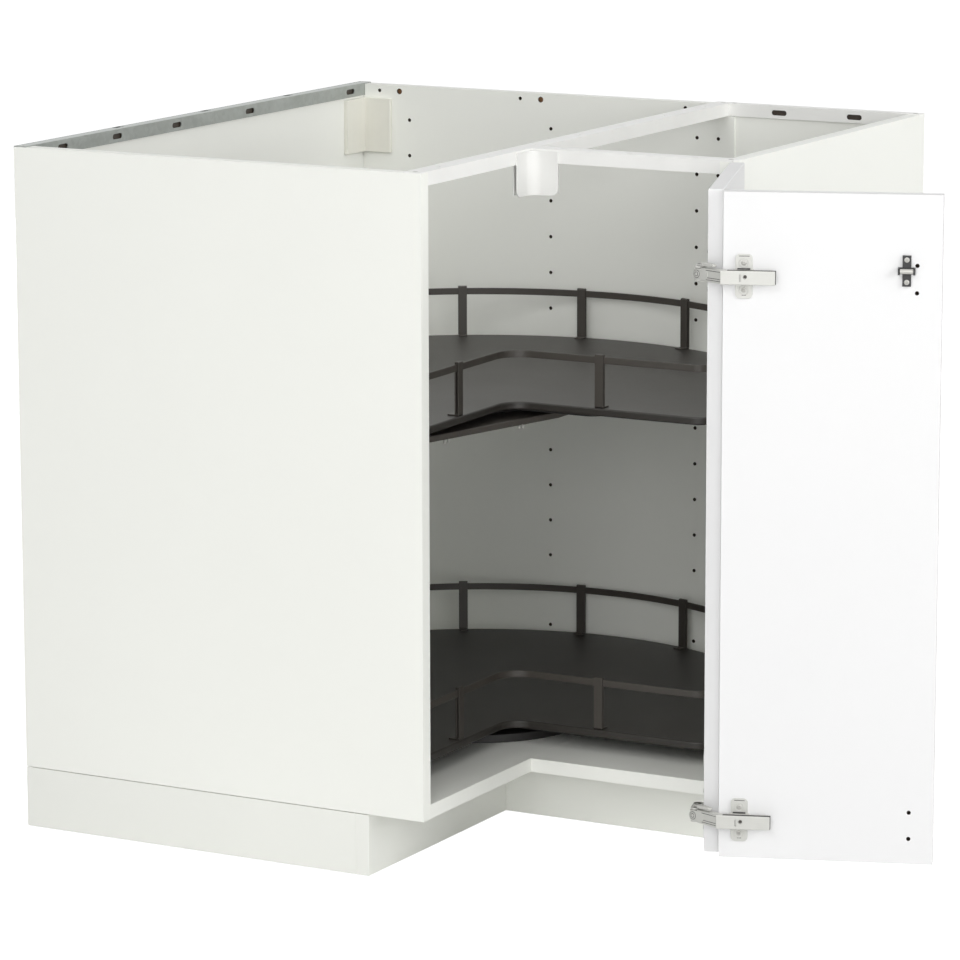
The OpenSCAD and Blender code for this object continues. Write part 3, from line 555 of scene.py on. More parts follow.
def follow(name, tree, mesh, coat, **values):
    """Runs a recipe on a mesh and leaves the plain result."""
    obj = stand(name, mesh)
    run = obj.modifiers.new("recipe", "NODES")
    run.node_group = tree
    sockets = {item.name: item.identifier for item in tree.interface.items_tree if item.in_out == "INPUT"}
    for label, value in values.items():
        run[sockets[label.replace("_", " ")]] = value
    run[sockets["Coat"]] = finish(coat)
    bake(obj)
    return obj


def strip_recipe():
    """A flat strip stood on edge along a closed path."""
    r = bpy.data.node_groups.get("strip along an edge")
    if r:
        return r
    r = Recipe("strip along an edge", Height=float, Thickness=float, Edge_radius=float)
    path = r.add("GeometryNodeMeshToCurve", None, {"Mesh": r.given["Geometry"]})["Curve"]
    section = r.add("GeometryNodeCurvePrimitiveQuadrilateral", {"mode": "RECTANGLE"},
                    {"Width": r.given["Thickness"], "Height": r.given["Height"]})["Curve"]
    section = r.add("GeometryNodeFilletCurve", None, {"Curve": section, "Radius": r.given["Edge radius"]})["Curve"]
    swept = r.add("GeometryNodeCurveToMesh", None,
                  {"Curve": path, "Profile Curve": section, "Fill Caps": False})["Mesh"]
    return r.ends(swept)


def ring_recipe():
    """Copies of a part round an axis, each turned to face outwards."""
    r = bpy.data.node_groups.get("parts round an axis")
    if r:
        return r
    r = Recipe("parts round an axis", Part=bpy.types.Object, Count=int, First_angle=float, Step_angle=float,
               Radius=float, Centre=Vector)
    number = r.add("GeometryNodeInputIndex")[0]
    angle = number * r.given["Step angle"] + r.given["First angle"]
    out = r.given["Radius"]
    spot = r.add("ShaderNodeCombineXYZ", None, {"X": angle.maths("COSINE", angle) * out,
                                               "Y": angle.maths("SINE", angle) * out})["Vector"]
    spot = r.add("ShaderNodeVectorMath", {"operation": "ADD"}, [spot, r.given["Centre"]])["Vector"]
    points = r.add("GeometryNodePoints", None, {"Count": r.given["Count"], "Position": spot})["Points"]
    turn = r.add("ShaderNodeCombineXYZ", None, {"Z": angle})["Vector"]
    part = r.add("GeometryNodeObjectInfo", None, {"Object": r.given["Part"]})["Geometry"]
    placed = r.add("GeometryNodeInstanceOnPoints", None, {"Points": points, "Instance": part, "Rotation": turn})
    return r.ends(placed["Instances"])


def marks_recipe():
    """Copies of a part on marked points, its Z axis along each point's own facing."""
    r = bpy.data.node_groups.get("parts on marks")
    if r:
        return r
    r = Recipe("parts on marks", Part=bpy.types.Object)
    points = r.add("GeometryNodeMeshToPoints", None, {"Mesh": r.given["Geometry"]})["Points"]
    facing = r.add("GeometryNodeInputNamedAttribute", {"data_type": "FLOAT_VECTOR"}, {"Name": "facing"})[0]
    turn = r.add("FunctionNodeAlignRotationToVector", {"axis": "Z"}, {"Vector": facing})["Rotation"]
    part = r.add("GeometryNodeObjectInfo", None, {"Object": r.given["Part"]})["Geometry"]
    placed = r.add("GeometryNodeInstanceOnPoints", None, {"Points": points, "Instance": part, "Rotation": turn})
    return r.ends(placed["Instances"])


def marks(name, spots):
    """A mesh of points, each with the direction that its part faces."""
    mesh = bpy.data.meshes.new(name)
    mesh.from_pydata([p for p, _ in spots], [], [])
    facing = mesh.attributes.new("facing", "FLOAT_VECTOR", "POINT")
    for item, (_, way) in zip(facing.data, spots):
        item.vector = way
    return mesh


def pattern(name, mesh, radius=0.0, segments=2):
    """A part that a recipe copies; it stays out of the scene."""
    obj = softened(stand(name, mesh), radius, segments)
    bpy.context.scene.collection.objects.unlink(obj)
    return obj


def on_marks(name, part, spots, coat, body, stands_for=()):
    obj = follow(name, marks_recipe(), marks(name + "_marks", spots), coat, Part=part)
    return settle(obj, body, None, stands_for)


def pan_head(name, radius, height, shank=0.0, cross=True):
    """A domed screw head with a cross recess, its seat at z = 0."""
    blank = Blank()
    dome = [(radius * math.cos(a), height * (0.35 + 0.65 * math.sin(a)))
            for a in (math.pi / 2 * k / 5 for k in range(6))]
    dip = radius * 0.5
    top = [(x, z) for x, z in dome if x > dip]
    profile = [(0, -shank)] + ([(radius * 0.55, -shank), (radius * 0.55, 0)] if shank else []) + [(radius, 0)]
    profile += top + [(dip, height * 0.93), (dip * 0.45, height * 0.35), (0, height * 0.3)]
    blank.turned([(0, 0)] + profile[1:] if not shank else profile, steps=24)
    if cross:
        for a in (0, 90):
            turn = Matrix.Rotation(math.radians(a), 4, "Z")
            blank.block((-dip * 1.25, -radius * 0.09, height * 0.86), (dip * 1.25, radius * 0.09, height * 0.965), turn)
    return pattern(name, blank.mesh(name))


# ---- settings ----


class CabinetColours(bpy.types.PropertyGroup):
    """Colours of the finishes, as linear values."""


def colour_property(label, words, value):
    return FloatVectorProperty(name=label, description=words, subtype="COLOR", size=3, min=0, max=1, default=value)


for key, label, words, value in (
    ("white_board", "Board", "White melamine board of the carcass", shade(245, 246, 240)),
    ("plinth_board", "Plinth", "Cream board of the plinth", shade(239, 240, 234)),
    ("door_foil", "Doors", "White foil of the doors", shade(229, 229, 229)),
    ("rear_sheet", "Rear sheet", "White face of the thin rear panels", shade(245, 246, 240)),
    ("chipboard", "Chipboard", "Raw board inside the drilled holes", shade(70, 58, 44)),
    ("galvanised", "Galvanised rail", "Zinc coat of the rear rail", shade(172, 176, 173)),
    ("white_coat", "White rails", "Powder coat of the white rails", shade(242, 242, 239)),
    ("dark_coat", "Guard", "Powder coat of the guard and the beam", shade(66, 62, 57)),
    # painted light: the beam's coat is the guard's dark powder coat made lighter, to stand for light falling on the
    # beam
    ("beam_coat", "Beam", "Powder coat of the beam under the upper shelf", shade(84, 80, 75)),
    # the same black also paints the shade in the hinges' gaps, grooves and cover edges
    ("black_coat", "Turntables", "Powder coat of the turntables", shade(30, 29, 28)),
    ("nickel", "Hinges", "Nickel plate of the hinges", shade(200, 200, 195)),
    ("zinc", "Screws", "Zinc plate of the screws", shade(188, 187, 182)),
    ("white_plastic", "Corner cover", "White plastic of the corner cover", shade(232, 232, 229)),
    ("cream_plastic", "Corner angle", "Cream plastic of the rear corner angle", shade(232, 231, 221)),
    # the same black also paints the shade inside the hinge covers' windows and slots
    ("black_plastic", "Legs", "Black plastic of the legs and clips", shade(34, 34, 35)),
    ("dark_laminate", "Shelves", "Dark laminate of the revolving shelves", shade(44, 41, 37)),
    ("raw_wood", "Dowels", "Raw wood of the dowel ends", shade(122, 86, 54)),
):
    CabinetColours.__annotations__[key] = colour_property(label, words, value)


class CabinetSizes(bpy.types.PropertyGroup):
    """Sizes that the frame doesn't fix."""

    board_edge: FloatProperty(name="Board edge", description="Radius of the boards' edges",
                              default=0.6 * MM, min=0.1 * MM, max=3 * MM, unit="LENGTH")
    door_edge: FloatProperty(name="Door edge", description="Radius of the doors' edges",
                             default=1.0 * MM, min=0.2 * MM, max=4 * MM, unit="LENGTH")
    shelf_radius: FloatProperty(name="Shelf radius", description="Radius of the revolving shelves",
                                default=392 * MM, min=300 * MM, max=400 * MM, unit="LENGTH")
    shelf_edge: FloatProperty(name="Shelf edge", description="Radius of the shelves' edges",
                              default=2.0 * MM, min=0.5 * MM, max=5 * MM, unit="LENGTH")
    notch: FloatProperty(name="Notch", description="Distance of the notch's edges from the axis",
                         default=100 * MM, min=60 * MM, max=140 * MM, unit="LENGTH")
    notch_radius: FloatProperty(name="Notch radius", description="Radius of the notch's inner corner",
                                default=30 * MM, min=10 * MM, max=60 * MM, unit="LENGTH")
    tip_radius: FloatProperty(name="Tip radius", description="Radius of the shelves' two outer corners",
                              default=28 * MM, min=10 * MM, max=60 * MM, unit="LENGTH")
    strip_inset: FloatProperty(name="Strip inset", description="Distance of the guard strip from the shelf's edge",
                               default=3 * MM, min=1 * MM, max=10 * MM, unit="LENGTH")
    strip_thickness: FloatProperty(name="Strip thickness", description="Thickness of the guard strip",
                                   default=2 * MM, min=1 * MM, max=4 * MM, unit="LENGTH")
    post_width: FloatProperty(name="Post width", description="Width of a guard post",
                              default=12 * MM, min=6 * MM, max=20 * MM, unit="LENGTH")
    post_wall: FloatProperty(name="Post wall", description="Thickness of a post's two walls",
                             default=1.6 * MM, min=1 * MM, max=3 * MM, unit="LENGTH")
    post_count: IntProperty(name="Posts", description="Posts on each half of the round edge", default=6, min=1, max=12)
    post_first: FloatProperty(name="First post", description="Angle of the first post from the middle of the round edge",
                              default=math.radians(13.0), min=0.1, max=0.4, unit="ROTATION")
    post_step: FloatProperty(name="Post step", description="Angle between posts on the round edge",
                             default=math.radians(24.8), min=0.1, max=1.0, unit="ROTATION")
    front_post: FloatProperty(name="Front post", description="Distance of a front post along the notch's edge",
                              default=227 * MM, min=100 * MM, max=300 * MM, unit="LENGTH")


class CabinetStage(bpy.types.PropertyGroup):
    """Camera and light."""

    lens: FloatProperty(name="Lens", description="Focal length on a 36 mm sensor",
                        default=174.6, min=20, max=400, unit="CAMERA")
    distance: FloatProperty(name="Floor size", description="Half width of the floor",
                            default=14.0, min=2, max=40, unit="LENGTH")
    sky: FloatProperty(name="Sky", description="Brightness of the even light from all round", default=0.2, min=0, max=3)
    front: FloatProperty(name="Front lamp", description="Power of the lamp before the left wing's end",
                         default=78.0, min=0, max=2000, unit="POWER")
    key: FloatProperty(name="Key", description="Power of the lamp before the open corner",
                       default=114.0, min=0, max=2000, unit="POWER")
    side: FloatProperty(name="Side lamp", description="Power of the lamp to the right of the open corner",
                        default=175.0, min=0, max=2000, unit="POWER")
    above: FloatProperty(name="Top lamp", description="Power of the lamp above", default=30.0, min=0, max=1000, unit="POWER")
    rear: FloatProperty(name="Rear lamp", description="Power of the lamp behind the corner, for views from that side",
                        default=90.0, min=0, max=2000, unit="POWER")
    lift: FloatProperty(name="Floor lift", description="Light added to the floor that the camera sees",
                        default=0.85, min=0, max=2)


# ---- operators ----


class CABINET_OT_boards(bpy.types.Operator):
    """Carcass boards with soft edges and raw chipboard inside their holes"""

    bl_idname = "cabinet.boards"
    bl_label = "Boards"

    def execute(self, context):
        edge = context.scene.cabinet_sizes.board_edge
        for node in ("left_side_panel", "right_side_panel", "back_side_panel", "bottom_panel_main", "bottom_panel_wing"):
            dressed(node, node + "_board", "white_board", edge, 2, "chipboard")
        for node in ("rear_panel_left", "rear_panel_right"):
            dressed(node, node + "_sheet", "rear_sheet", 0.25 * MM)
        dressed("dowels", "dowel_ends", "raw_wood", 0.4 * MM)
        return {"FINISHED"}


class CABINET_OT_rails(bpy.types.Operator):
    """Rails, the cover over their inner corner and the angle in the rear corner"""

    bl_idname = "cabinet.rails"
    bl_label = "Rails"

    def execute(self, context):
        dressed("rear_rail_left", "galvanised_rail", "galvanised", 0.25 * MM)
        for node in ("rear_rail_right", "front_rail_long", "front_rail_short"):
            dressed(node, node + "_coated", "white_coat", 0.25 * MM)
        dressed("rail_corner_cover", "corner_cover", "white_plastic", 0.4 * MM)
        dressed("rear_corner_angle", "corner_angle", "cream_plastic", 0.7 * MM)
        return {"FINISHED"}


class CABINET_OT_plinth(bpy.types.Operator):
    """Plinth boards, legs, levelling feet and clips"""

    bl_idname = "cabinet.plinth"
    bl_label = "Plinth and legs"

    def execute(self, context):
        edge = context.scene.cabinet_sizes.board_edge
        for node in ("plinth_side", "plinth_front_left", "plinth_front_right"):
            dressed(node, node + "_board", "plinth_board", edge)
        dressed("plinth_clips", "plinth_clip_set", "black_plastic", 0.6 * MM)
        feet = [f"foot_{k}" for k in range(1, 7)]
        spots = [sum(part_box(foot), Vector()) / 2 * Vector((1, 1, 0)) for foot in feet]
        on_marks("leg_sockets", self.leg(max(spot.x for spot in spots)), [(spot, (0, 0, 1)) for spot in spots], "black_plastic", "carcass",
                 ("leg_tubes",))
        lug = pattern("foot_lug", Blank().prism(round_box(2.6 * MM, 2.2 * MM, 0.6 * MM, 2), 1 * MM, 5.4 * MM).mesh("lug"))
        for foot, spot in zip(feet, spots):
            pad = softened(stand("levelling_" + foot, self.foot().mesh("foot", Matrix.Translation(spot))), 0)
            settle(pad, foot + "_body", "black_plastic", (foot,))
            ring = follow(foot + "_grip", ring_recipe(), bpy.data.meshes.new("none"), "black_plastic", Part=lug, Count=24,
                          First_angle=0.0, Step_angle=math.radians(15), Radius=26.6 * MM, Centre=spot)
            settle(ring, foot + "_body", None)
        return {"FINISHED"}

    def leg(self, axis_x):
        """Round flange under the board, eight gussets and a tube with fine upright ribs."""
        low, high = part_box("leg_tubes")
        r, wide, flange = 19 * MM, high.x - axis_x, 6 * MM
        bottom, top = low.z, high.z
        blank = Blank().turned([
            (0, 52 * MM), (5.1 * MM, 52 * MM), (5.1 * MM, bottom), (r - 1.2 * MM, bottom), (r, bottom + 1.2 * MM),
            (r, top - flange - 3 * MM), (r + 1.5 * MM, top - flange), (wide - 1.2 * MM, top - flange),
            (wide, top - flange + 1.2 * MM), (wide, top), (0, top)])
        for k in range(8):
            turn = Matrix.Rotation(k * math.pi / 4, 4, "Z") @ Matrix.Rotation(math.pi / 2, 4, "X")
            blank.prism([(r - 1 * MM, top - flange - 16 * MM), (r + 2.5 * MM, top - flange - 15.5 * MM),
                         (r + 7 * MM, top - flange - 6 * MM), (r + 7 * MM, top - flange + 0.3 * MM),
                         (r - 1 * MM, top - flange + 0.3 * MM)], -1.4 * MM, 1.4 * MM, turn)
        for k in range(24):
            turn = Matrix.Rotation((k + 0.5) * math.pi / 12, 4, "Z")
            blank.block((r - 0.5 * MM, -0.6 * MM, bottom + 3 * MM), (r + 0.5 * MM, 0.6 * MM, top - flange - 18 * MM), turn)
        return pattern("leg", blank.mesh("leg"), 0.25 * MM)

    def foot(self):
        """Round pad with its threaded stem."""
        profile = [(0, 0), (25.4 * MM, 0), (27 * MM, 1.4 * MM), (27 * MM, 5.6 * MM), (25.6 * MM, 7.6 * MM), (24.5 * MM, 8 * MM),
                   (12 * MM, 8 * MM), (9 * MM, 9.4 * MM), (5 * MM, 9.4 * MM)]
        pitch, stem = 1.5 * MM, 50 * MM
        for k in range(int((stem - 10 * MM) / pitch)):
            z = 9.6 * MM + k * pitch
            profile += [(5 * MM, z), (4.3 * MM, z + pitch / 2)]
        return Blank().turned(profile + [(5 * MM, stem - 0.5 * MM), (4.5 * MM, stem), (0, stem)], steps=36)


def shelf_outline(sizes, inset=0.0, steps=240):
    """Outline of a shelf about its axis: a disc with a square notch and round corners."""
    r, n = sizes.shelf_radius - inset, sizes.notch - inset
    v, t = sizes.notch_radius + inset, sizes.tip_radius - inset
    a = math.asin((n - t) / (r - t))
    far = (r - t) * math.cos(a)

    def arc(cx, cy, radius, start, stop, count):
        return [(cx + radius * math.cos(start + (stop - start) * k / count),
                 cy + radius * math.sin(start + (stop - start) * k / count)) for k in range(count + 1)]

    quarter = math.pi / 2
    return (arc(far, -n + t, t, -quarter, -a, 16) + arc(0, 0, r, -a, 3 * quarter + a, steps)[1:-1]
            + arc(n - t, -far, t, 3 * quarter + a, 4 * quarter, 16)
            + arc(n + v, -n - v, v, 2 * quarter, quarter, 16))


LEVELS = ("upper", "lower")


def shelf_top(level):
    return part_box(level + "_shelf")[1].z


class CABINET_OT_shelves(bpy.types.Operator):
    """Revolving shelves with their turntables"""

    bl_idname = "cabinet.shelves"
    bl_label = "Shelves"

    def execute(self, context):
        sizes = context.scene.cabinet_sizes
        at = Matrix.Translation(Vector((SPINDLE.x, SPINDLE.y, 0)))
        for level in LEVELS:
            low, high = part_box(level + "_shelf")
            blank = Blank().prism(shelf_outline(sizes), low.z, high.z, at)
            obj = softened(stand(level + "_shelf_board", blank.mesh("shelf")), sizes.shelf_edge, 3)
            settle(obj, level + "_carousel", "dark_laminate", (level + "_shelf",))
            dressed(level + "_turntable_plate", level + "_turntable_top", "black_coat", 0.6 * MM)
            dressed(level + "_turntable_base", level + "_turntable_seat", "black_coat", 0.8 * MM)
        return {"FINISHED"}


class CABINET_OT_guards(bpy.types.Operator):
    """Guard strips swept round the shelves, and the posts that hold them"""

    bl_idname = "cabinet.guards"
    bl_label = "Guards"

    def execute(self, context):
        sizes = context.scene.cabinet_sizes
        outline = shelf_outline(sizes, sizes.strip_inset + sizes.strip_thickness / 2)
        for level in LEVELS:
            low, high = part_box(level + "_guard_strip")
            middle = (low.z + high.z) / 2
            mesh = bpy.data.meshes.new("strip_path")
            mesh.from_pydata([(SPINDLE.x + x, SPINDLE.y + y, middle) for x, y in outline],
                             [(i, (i + 1) % len(outline)) for i in range(len(outline))], [])
            strip = follow(level + "_strip", strip_recipe(), mesh, "dark_coat", Height=high.z - low.z,
                           Thickness=sizes.strip_thickness, Edge_radius=0.5 * MM)
            softened(strip, 0, angle=40)
            settle(strip, level + "_carousel", None, (level + "_guard_strip",))
            self.posts(sizes, level)
        return {"FINISHED"}

    def posts(self, sizes, level):
        low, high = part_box(level + "_guard_posts")
        tall, wide, wall = high.z - low.z, sizes.post_width / 2, sizes.post_wall
        slot = sizes.strip_thickness + 0.5 * MM
        deep = 2 * wall + slot
        bend = [(0, 0), (0, tall - 1.6 * MM), (-0.5 * MM, tall - 0.5 * MM), (-1.6 * MM, tall), (-deep + 1.6 * MM, tall),
                (-deep + 0.5 * MM, tall - 0.5 * MM), (-deep, tall - 1.6 * MM), (-deep, 2 * MM), (-16 * MM, 2 * MM), (-16 * MM, 0)]
        inner = [(-wall, 2 * MM), (-wall, tall - 2 * MM), (-wall - slot, tall - 2 * MM), (-wall - slot, 2 * MM)]
        blank = Blank()
        # two walls, the fold over the strip and the foot, in the XZ plane, given their width along Y
        upright = Matrix.Rotation(math.pi / 2, 4, "X")
        blank.prism([bend[0], bend[1], bend[2], bend[3], (-deep / 2, tall), (-deep / 2, tall - 2 * MM), inner[1], inner[0]],
                    -wide, wide, upright)
        blank.prism([(-deep / 2, tall - 2 * MM), (-deep / 2, tall), bend[4], bend[5], bend[6], bend[7], inner[3], inner[2]],
                    -wide, wide, upright)
        blank.prism([(0, 0), (0, 2 * MM), (-16 * MM, 2 * MM), (-16 * MM, 0)], -wide, wide, upright)
        post = pattern(level + "_post", blank.mesh("post"), 0.35 * MM, 2)
        out = sizes.strip_inset - 0.25 * MM - wall
        centre = Vector((SPINDLE.x, SPINDLE.y, low.z))
        for half, way in (("left", 1), ("right", -1)):
            round_set = follow(f"{level}_round_posts_{half}", ring_recipe(), bpy.data.meshes.new("none"), "dark_coat",
                               Part=post, Count=sizes.post_count, First_angle=math.radians(135) + way * sizes.post_first,
                               Step_angle=way * sizes.post_step, Radius=sizes.shelf_radius - out, Centre=centre)
            settle(round_set, level + "_carousel", None, (level + "_guard_posts",) if way > 0 else ())
        edge = sizes.notch - out
        for tag, spot, turn in (("left", (edge, -sizes.front_post), 0.0), ("right", (sizes.front_post, -edge), -math.pi / 2)):
            place = Matrix.Translation(centre + Vector((*spot, 0))) @ Matrix.Rotation(turn, 4, "Z")
            mesh = post.data.copy()
            mesh.transform(place)
            mesh.materials.append(finish("dark_coat"))
            settle(stand(f"{level}_front_post_{tag}", mesh), level + "_carousel", None)


class CABINET_OT_beam(bpy.types.Operator):
    """Beam under the upper turntable, its end brackets and its bolts"""

    bl_idname = "cabinet.beam"
    bl_label = "Support beam"

    def execute(self, context):
        # the beam's lighter coat is painted light over the guard's dark coat
        dressed("support_beam", "folded_beam", "beam_coat", 0.8 * MM)
        dressed("beam_brackets", "beam_end_brackets", "dark_coat", 0.4 * MM)
        dressed("beam_screws", "beam_bolts", "zinc", 0.3 * MM)
        return {"FINISHED"}


class CABINET_OT_doors(bpy.types.Operator):
    """The folding pair of doors"""

    bl_idname = "cabinet.doors"
    bl_label = "Doors"

    def execute(self, context):
        edge = context.scene.cabinet_sizes.door_edge
        dressed("door_hinge_side", "inner_door_board", "door_foil", edge, 3, "chipboard")
        dressed("door_free_side", "free_door_board", "door_foil", edge, 3, "chipboard")
        return {"FINISHED"}


class CABINET_OT_hinges(bpy.types.Operator):
    """Corner hinges between the doors and concealed hinges on the side panel"""

    bl_idname = "cabinet.hinges"
    bl_label = "Hinges"

    def execute(self, context):
        for node in ("cabinet_hinge_plates", "cabinet_hinge_arms", "cabinet_hinge_links"):
            dressed(node, node + "_plated", "nickel", 0.4 * MM)
        cabinet_cup, corner_cup = OUTSIDE - 24.5 * MM, DOOR_END + 22.5 * MM
        self.cups("cabinet_hinge", cabinet_cup, ("cabinet_hinge_cups",), None)
        self.cups("corner_hinge", corner_cup, ("corner_hinge_cups",), self.cheeks)
        self.arms()
        self.covers()
        self.plates()
        dressed("corner_hinge_pins", "corner_hinge_pivots", "zinc", 0.3 * MM)
        return {"FINISHED"}

    def cups(self, name, x, nodes, extra):
        """Cup let into a door, its flange with two ears, and the housing inside it."""
        blank = Blank()
        for z in HINGE_HEIGHTS:
            out = Matrix.Translation((x, -DOOR_IN, z)) @ Matrix.Rotation(-math.pi / 2, 4, "X")
            blank.turned([(0, -12.95 * MM), (17.45 * MM, -12.95 * MM), (17.45 * MM, 0.02 * MM), (18.5 * MM, 0.02 * MM),
                          (18.5 * MM, 0.8 * MM), (18.1 * MM, 1.2 * MM), (16.9 * MM, 1.2 * MM), (16.45 * MM, 0.7 * MM),
                          (16.45 * MM, -11.95 * MM), (0, -11.95 * MM)], out, 56)
            for side in (-1, 1):
                ear = stadium((0, side * 17.2 * MM), (0, side * 22 * MM), 7 * MM)
                blank.prism(ear, 0.02 * MM, 1.1 * MM, out)
            if extra:
                blank.prism(round_box(13 * MM, 20 * MM, 3 * MM), -12 * MM, -3.5 * MM, out)
                blank.tube([(-16 * MM, 0, -3.6 * MM), (16 * MM, 0, -3.6 * MM)], 1.6 * MM, out)
                extra(blank, z)
            else:
                # the folded arm lies between these two guides when the door is shut
                for low in (-12.4 * MM, 8.7 * MM):
                    blank.block((-6 * MM, low, -12 * MM), (6 * MM, low + 3.7 * MM, -3.5 * MM), out)
        if not extra:
            # neck of the cabinet hinge, a band on an arc about the swing axis
            for z in HINGE_HEIGHTS:
                arc = [math.radians(151 + 59 * k / 14) for k in range(15)]
                band = [(SWING.x + 22.4 * MM * math.cos(a), SWING.y + 22.4 * MM * math.sin(a)) for a in arc]
                band += [(SWING.x + 20 * MM * math.cos(a), SWING.y + 20 * MM * math.sin(a)) for a in reversed(arc)]
                blank.prism(band, z - 6 * MM, z + 6 * MM)
        obj = softened(stand(name + "_cup_set", blank.mesh(name, opened())), 0.25 * MM, 2, 40)
        settle(obj, "inner_door", "nickel", nodes)

    def cheeks(self, blank, z):
        """Two bent cheeks that hold the fold pin, and the web between them."""
        pin = (DOOR_END - 3 * MM, -FRONT + 7 * MM)
        elbow = (DOOR_END + 16.5 * MM, -FRONT + 6 * MM)
        foot = (DOOR_END + 18.5 * MM, -DOOR_IN - 8.2 * MM)
        for side in (-1, 1):
            low, high = sorted((side * 6.55 * MM, side * 8.5 * MM))
            blank.prism(stadium(pin, elbow, 5.2 * MM, 16), z + low, z + high)
            blank.prism(stadium(elbow, foot, 4.5 * MM, 12), z + low, z + high)
            # pressed rib along each cheek
            rib = stadium((pin[0] + 8 * MM, pin[1] - 0.4 * MM), (elbow[0] - 2 * MM, elbow[1]), 1.3 * MM, 8)
            edge = side * 8.5 * MM
            blank.prism(rib, z + edge - 0.1 * MM, z + edge + side * 0.45 * MM) if side > 0 else \
                blank.prism(rib, z + edge - 0.45 * MM, z + edge + 0.1 * MM)
        web = [(DOOR_END + 12 * MM, -DOOR_IN - 3 * MM), (DOOR_END + 12 * MM, -FRONT + 8.5 * MM),
               (DOOR_END + 18 * MM, -FRONT + 9.8 * MM), (DOOR_END + 20 * MM, -DOOR_IN - 3 * MM)]
        blank.prism(web, z - 6.6 * MM, z + 6.6 * MM)

    def arms(self):
        """Channel arm on the free door with a round eye on the fold pin, and dark rings and lines as painted shade in
        its gaps and grooves.
        """
        pin = Vector((DOOR_END - 3 * MM, -FRONT + 7 * MM, 0))
        root = (DOOR_IN - 8 * MM, -DOOR_END - 1 * MM)
        blank, shade_marks = Blank(), Blank()
        for z in HINGE_HEIGHTS:
            at = Matrix.Translation((0, 0, z))
            eye = Matrix.Translation((pin.x, pin.y, z))
            blank.turned([(0, -6 * MM), (5.6 * MM, -6 * MM), (6.1 * MM, -5.5 * MM), (6.1 * MM, 5.5 * MM), (5.6 * MM, 6 * MM),
                          (0, 6 * MM)], eye, 36)
            blank.prism(stadium((pin.x - 1 * MM, pin.y - 1 * MM), root, 4.6 * MM), -5.6 * MM, 5.6 * MM, at)
            # X runs down the tongue from the pin, Y up, and Z out of its open side
            run = (Vector((*root, 0)) - pin).normalized()
            side = eye @ Matrix(((run.x, 0, run.y, 0), (run.y, 0, -run.x, 0), (0, 1, 0, 0), (0, 0, 0, 1)))
            reach = (Vector((*root, 0)) - pin).length
            blank.prism([(9 * MM, -7.6 * MM), (reach + 1 * MM, -8 * MM), (reach + 1 * MM, 8 * MM), (9 * MM, 7.6 * MM)],
                        -4.4 * MM, 5.4 * MM, side)
            blank.prism(stadium((2 * MM, 0), (14 * MM, 0), 6.2 * MM, 14), 4 * MM, 6.1 * MM, side)
            blank.prism(round_box(20 * MM, 3.6 * MM, 1.2 * MM), -2 * MM, 4 * MM, side @ Matrix.Translation((17 * MM, 11.4 * MM, 0)))
            for r, high in ((4.2, 6.6), (2.1, 7.0)):
                blank.turned([(0, 6 * MM), (r * MM, 6 * MM), (r * MM, high * MM), (0, high * MM)],
                             side @ Matrix.Translation((2.4 * MM, 0, 0)), 28)
            # painted shade: dark rings round the boss and dark lines along the tongue stand for the shade in the gap
            # and the grooves
            for r, high in ((4.8, 6.25), (2.7, 6.75)):
                shade_marks.turned([(0, 6 * MM), (r * MM, 6 * MM), (r * MM, high * MM), (0, high * MM)],
                            side @ Matrix.Translation((2.4 * MM, 0, 0)), 28)
            for low_at, from_x in ((-2.9, 12), (-5.4, 10), (5.6, 15)):
                shade_marks.block((from_x * MM, (low_at - 0.3) * MM, 5 * MM), (reach, (low_at + 0.3) * MM, 5.52 * MM), side)
            high, low = DOOR_IN - 14 * MM, DOOR_IN - 2 * MM
            near, far = -DOOR_END - 2 * MM, -DOOR_END - 59 * MM
            blank.block((high, far, -7 * MM), (high + 2 * MM, near, 7 * MM), at)
            for side in (-1, 1):
                flange = sorted((side * 5.5 * MM, side * 7 * MM))
                blank.block((high, far, flange[0]), (low, near, flange[1]), at)
        obj = softened(stand("corner_hinge_arm_set", blank.mesh("arm", opened())), 0.3 * MM, 2, 40)
        settle(obj, "free_door", "nickel", ("corner_hinge_arms",))
        # the dark pieces are painted shade, in the black coat
        grooves = softened(stand("corner_hinge_grooves", shade_marks.mesh("grooves", opened())), 0)
        settle(grooves, "free_door", "black_coat")

    def covers(self):
        """Flat cover with a round window over the adjusting screw and a slot beside it, both lined in black as painted
        shade.
        """
        for level, z in zip(LEVELS[::-1], HINGE_HEIGHTS):
            half, near, far = 8.2 * MM, -DOOR_END + 2 * MM, -DOOR_END - 62 * MM
            base, top = DOOR_IN - 10 * MM, DOOR_IN - 15 * MM
            plate = Blank().block((top - 0.5 * MM, far, z - half), (base, near, z + half))
            obj = softened(stand(level + "_hinge_cover", plate.mesh("cover")), 0.7 * MM, 3, 38)
            obj.data.materials.append(finish("nickel"))
            middle = -DOOR_END - 27 * MM
            window = Matrix.Translation((top - 2 * MM, middle, z + 1.2 * MM)) @ Matrix.Rotation(math.pi / 2, 4, "Y")
            # painted shade: the cut walls and floor of the round window and the slot take the black plastic, for the
            # shade inside them
            cut = Blank().turned([(0, 0), (2.6 * MM, 0), (2.6 * MM, 3.2 * MM), (0, 3.2 * MM)],
                                 window, 28)
            slot = Matrix.Translation((top - 2 * MM, middle + 5.6 * MM, z)) @ Matrix.Rotation(math.pi / 2, 4, "Y")
            cut.prism(stadium((-3.2 * MM, 0), (3.2 * MM, 0), 1.1 * MM, 8), 0, 3.2 * MM, slot)
            carved(obj, cut.mesh("window"), "black_plastic")
            obj.data.transform(opened())
            settle(obj, "free_door", None, ("corner_hinge_covers",) if level == "lower" else ())
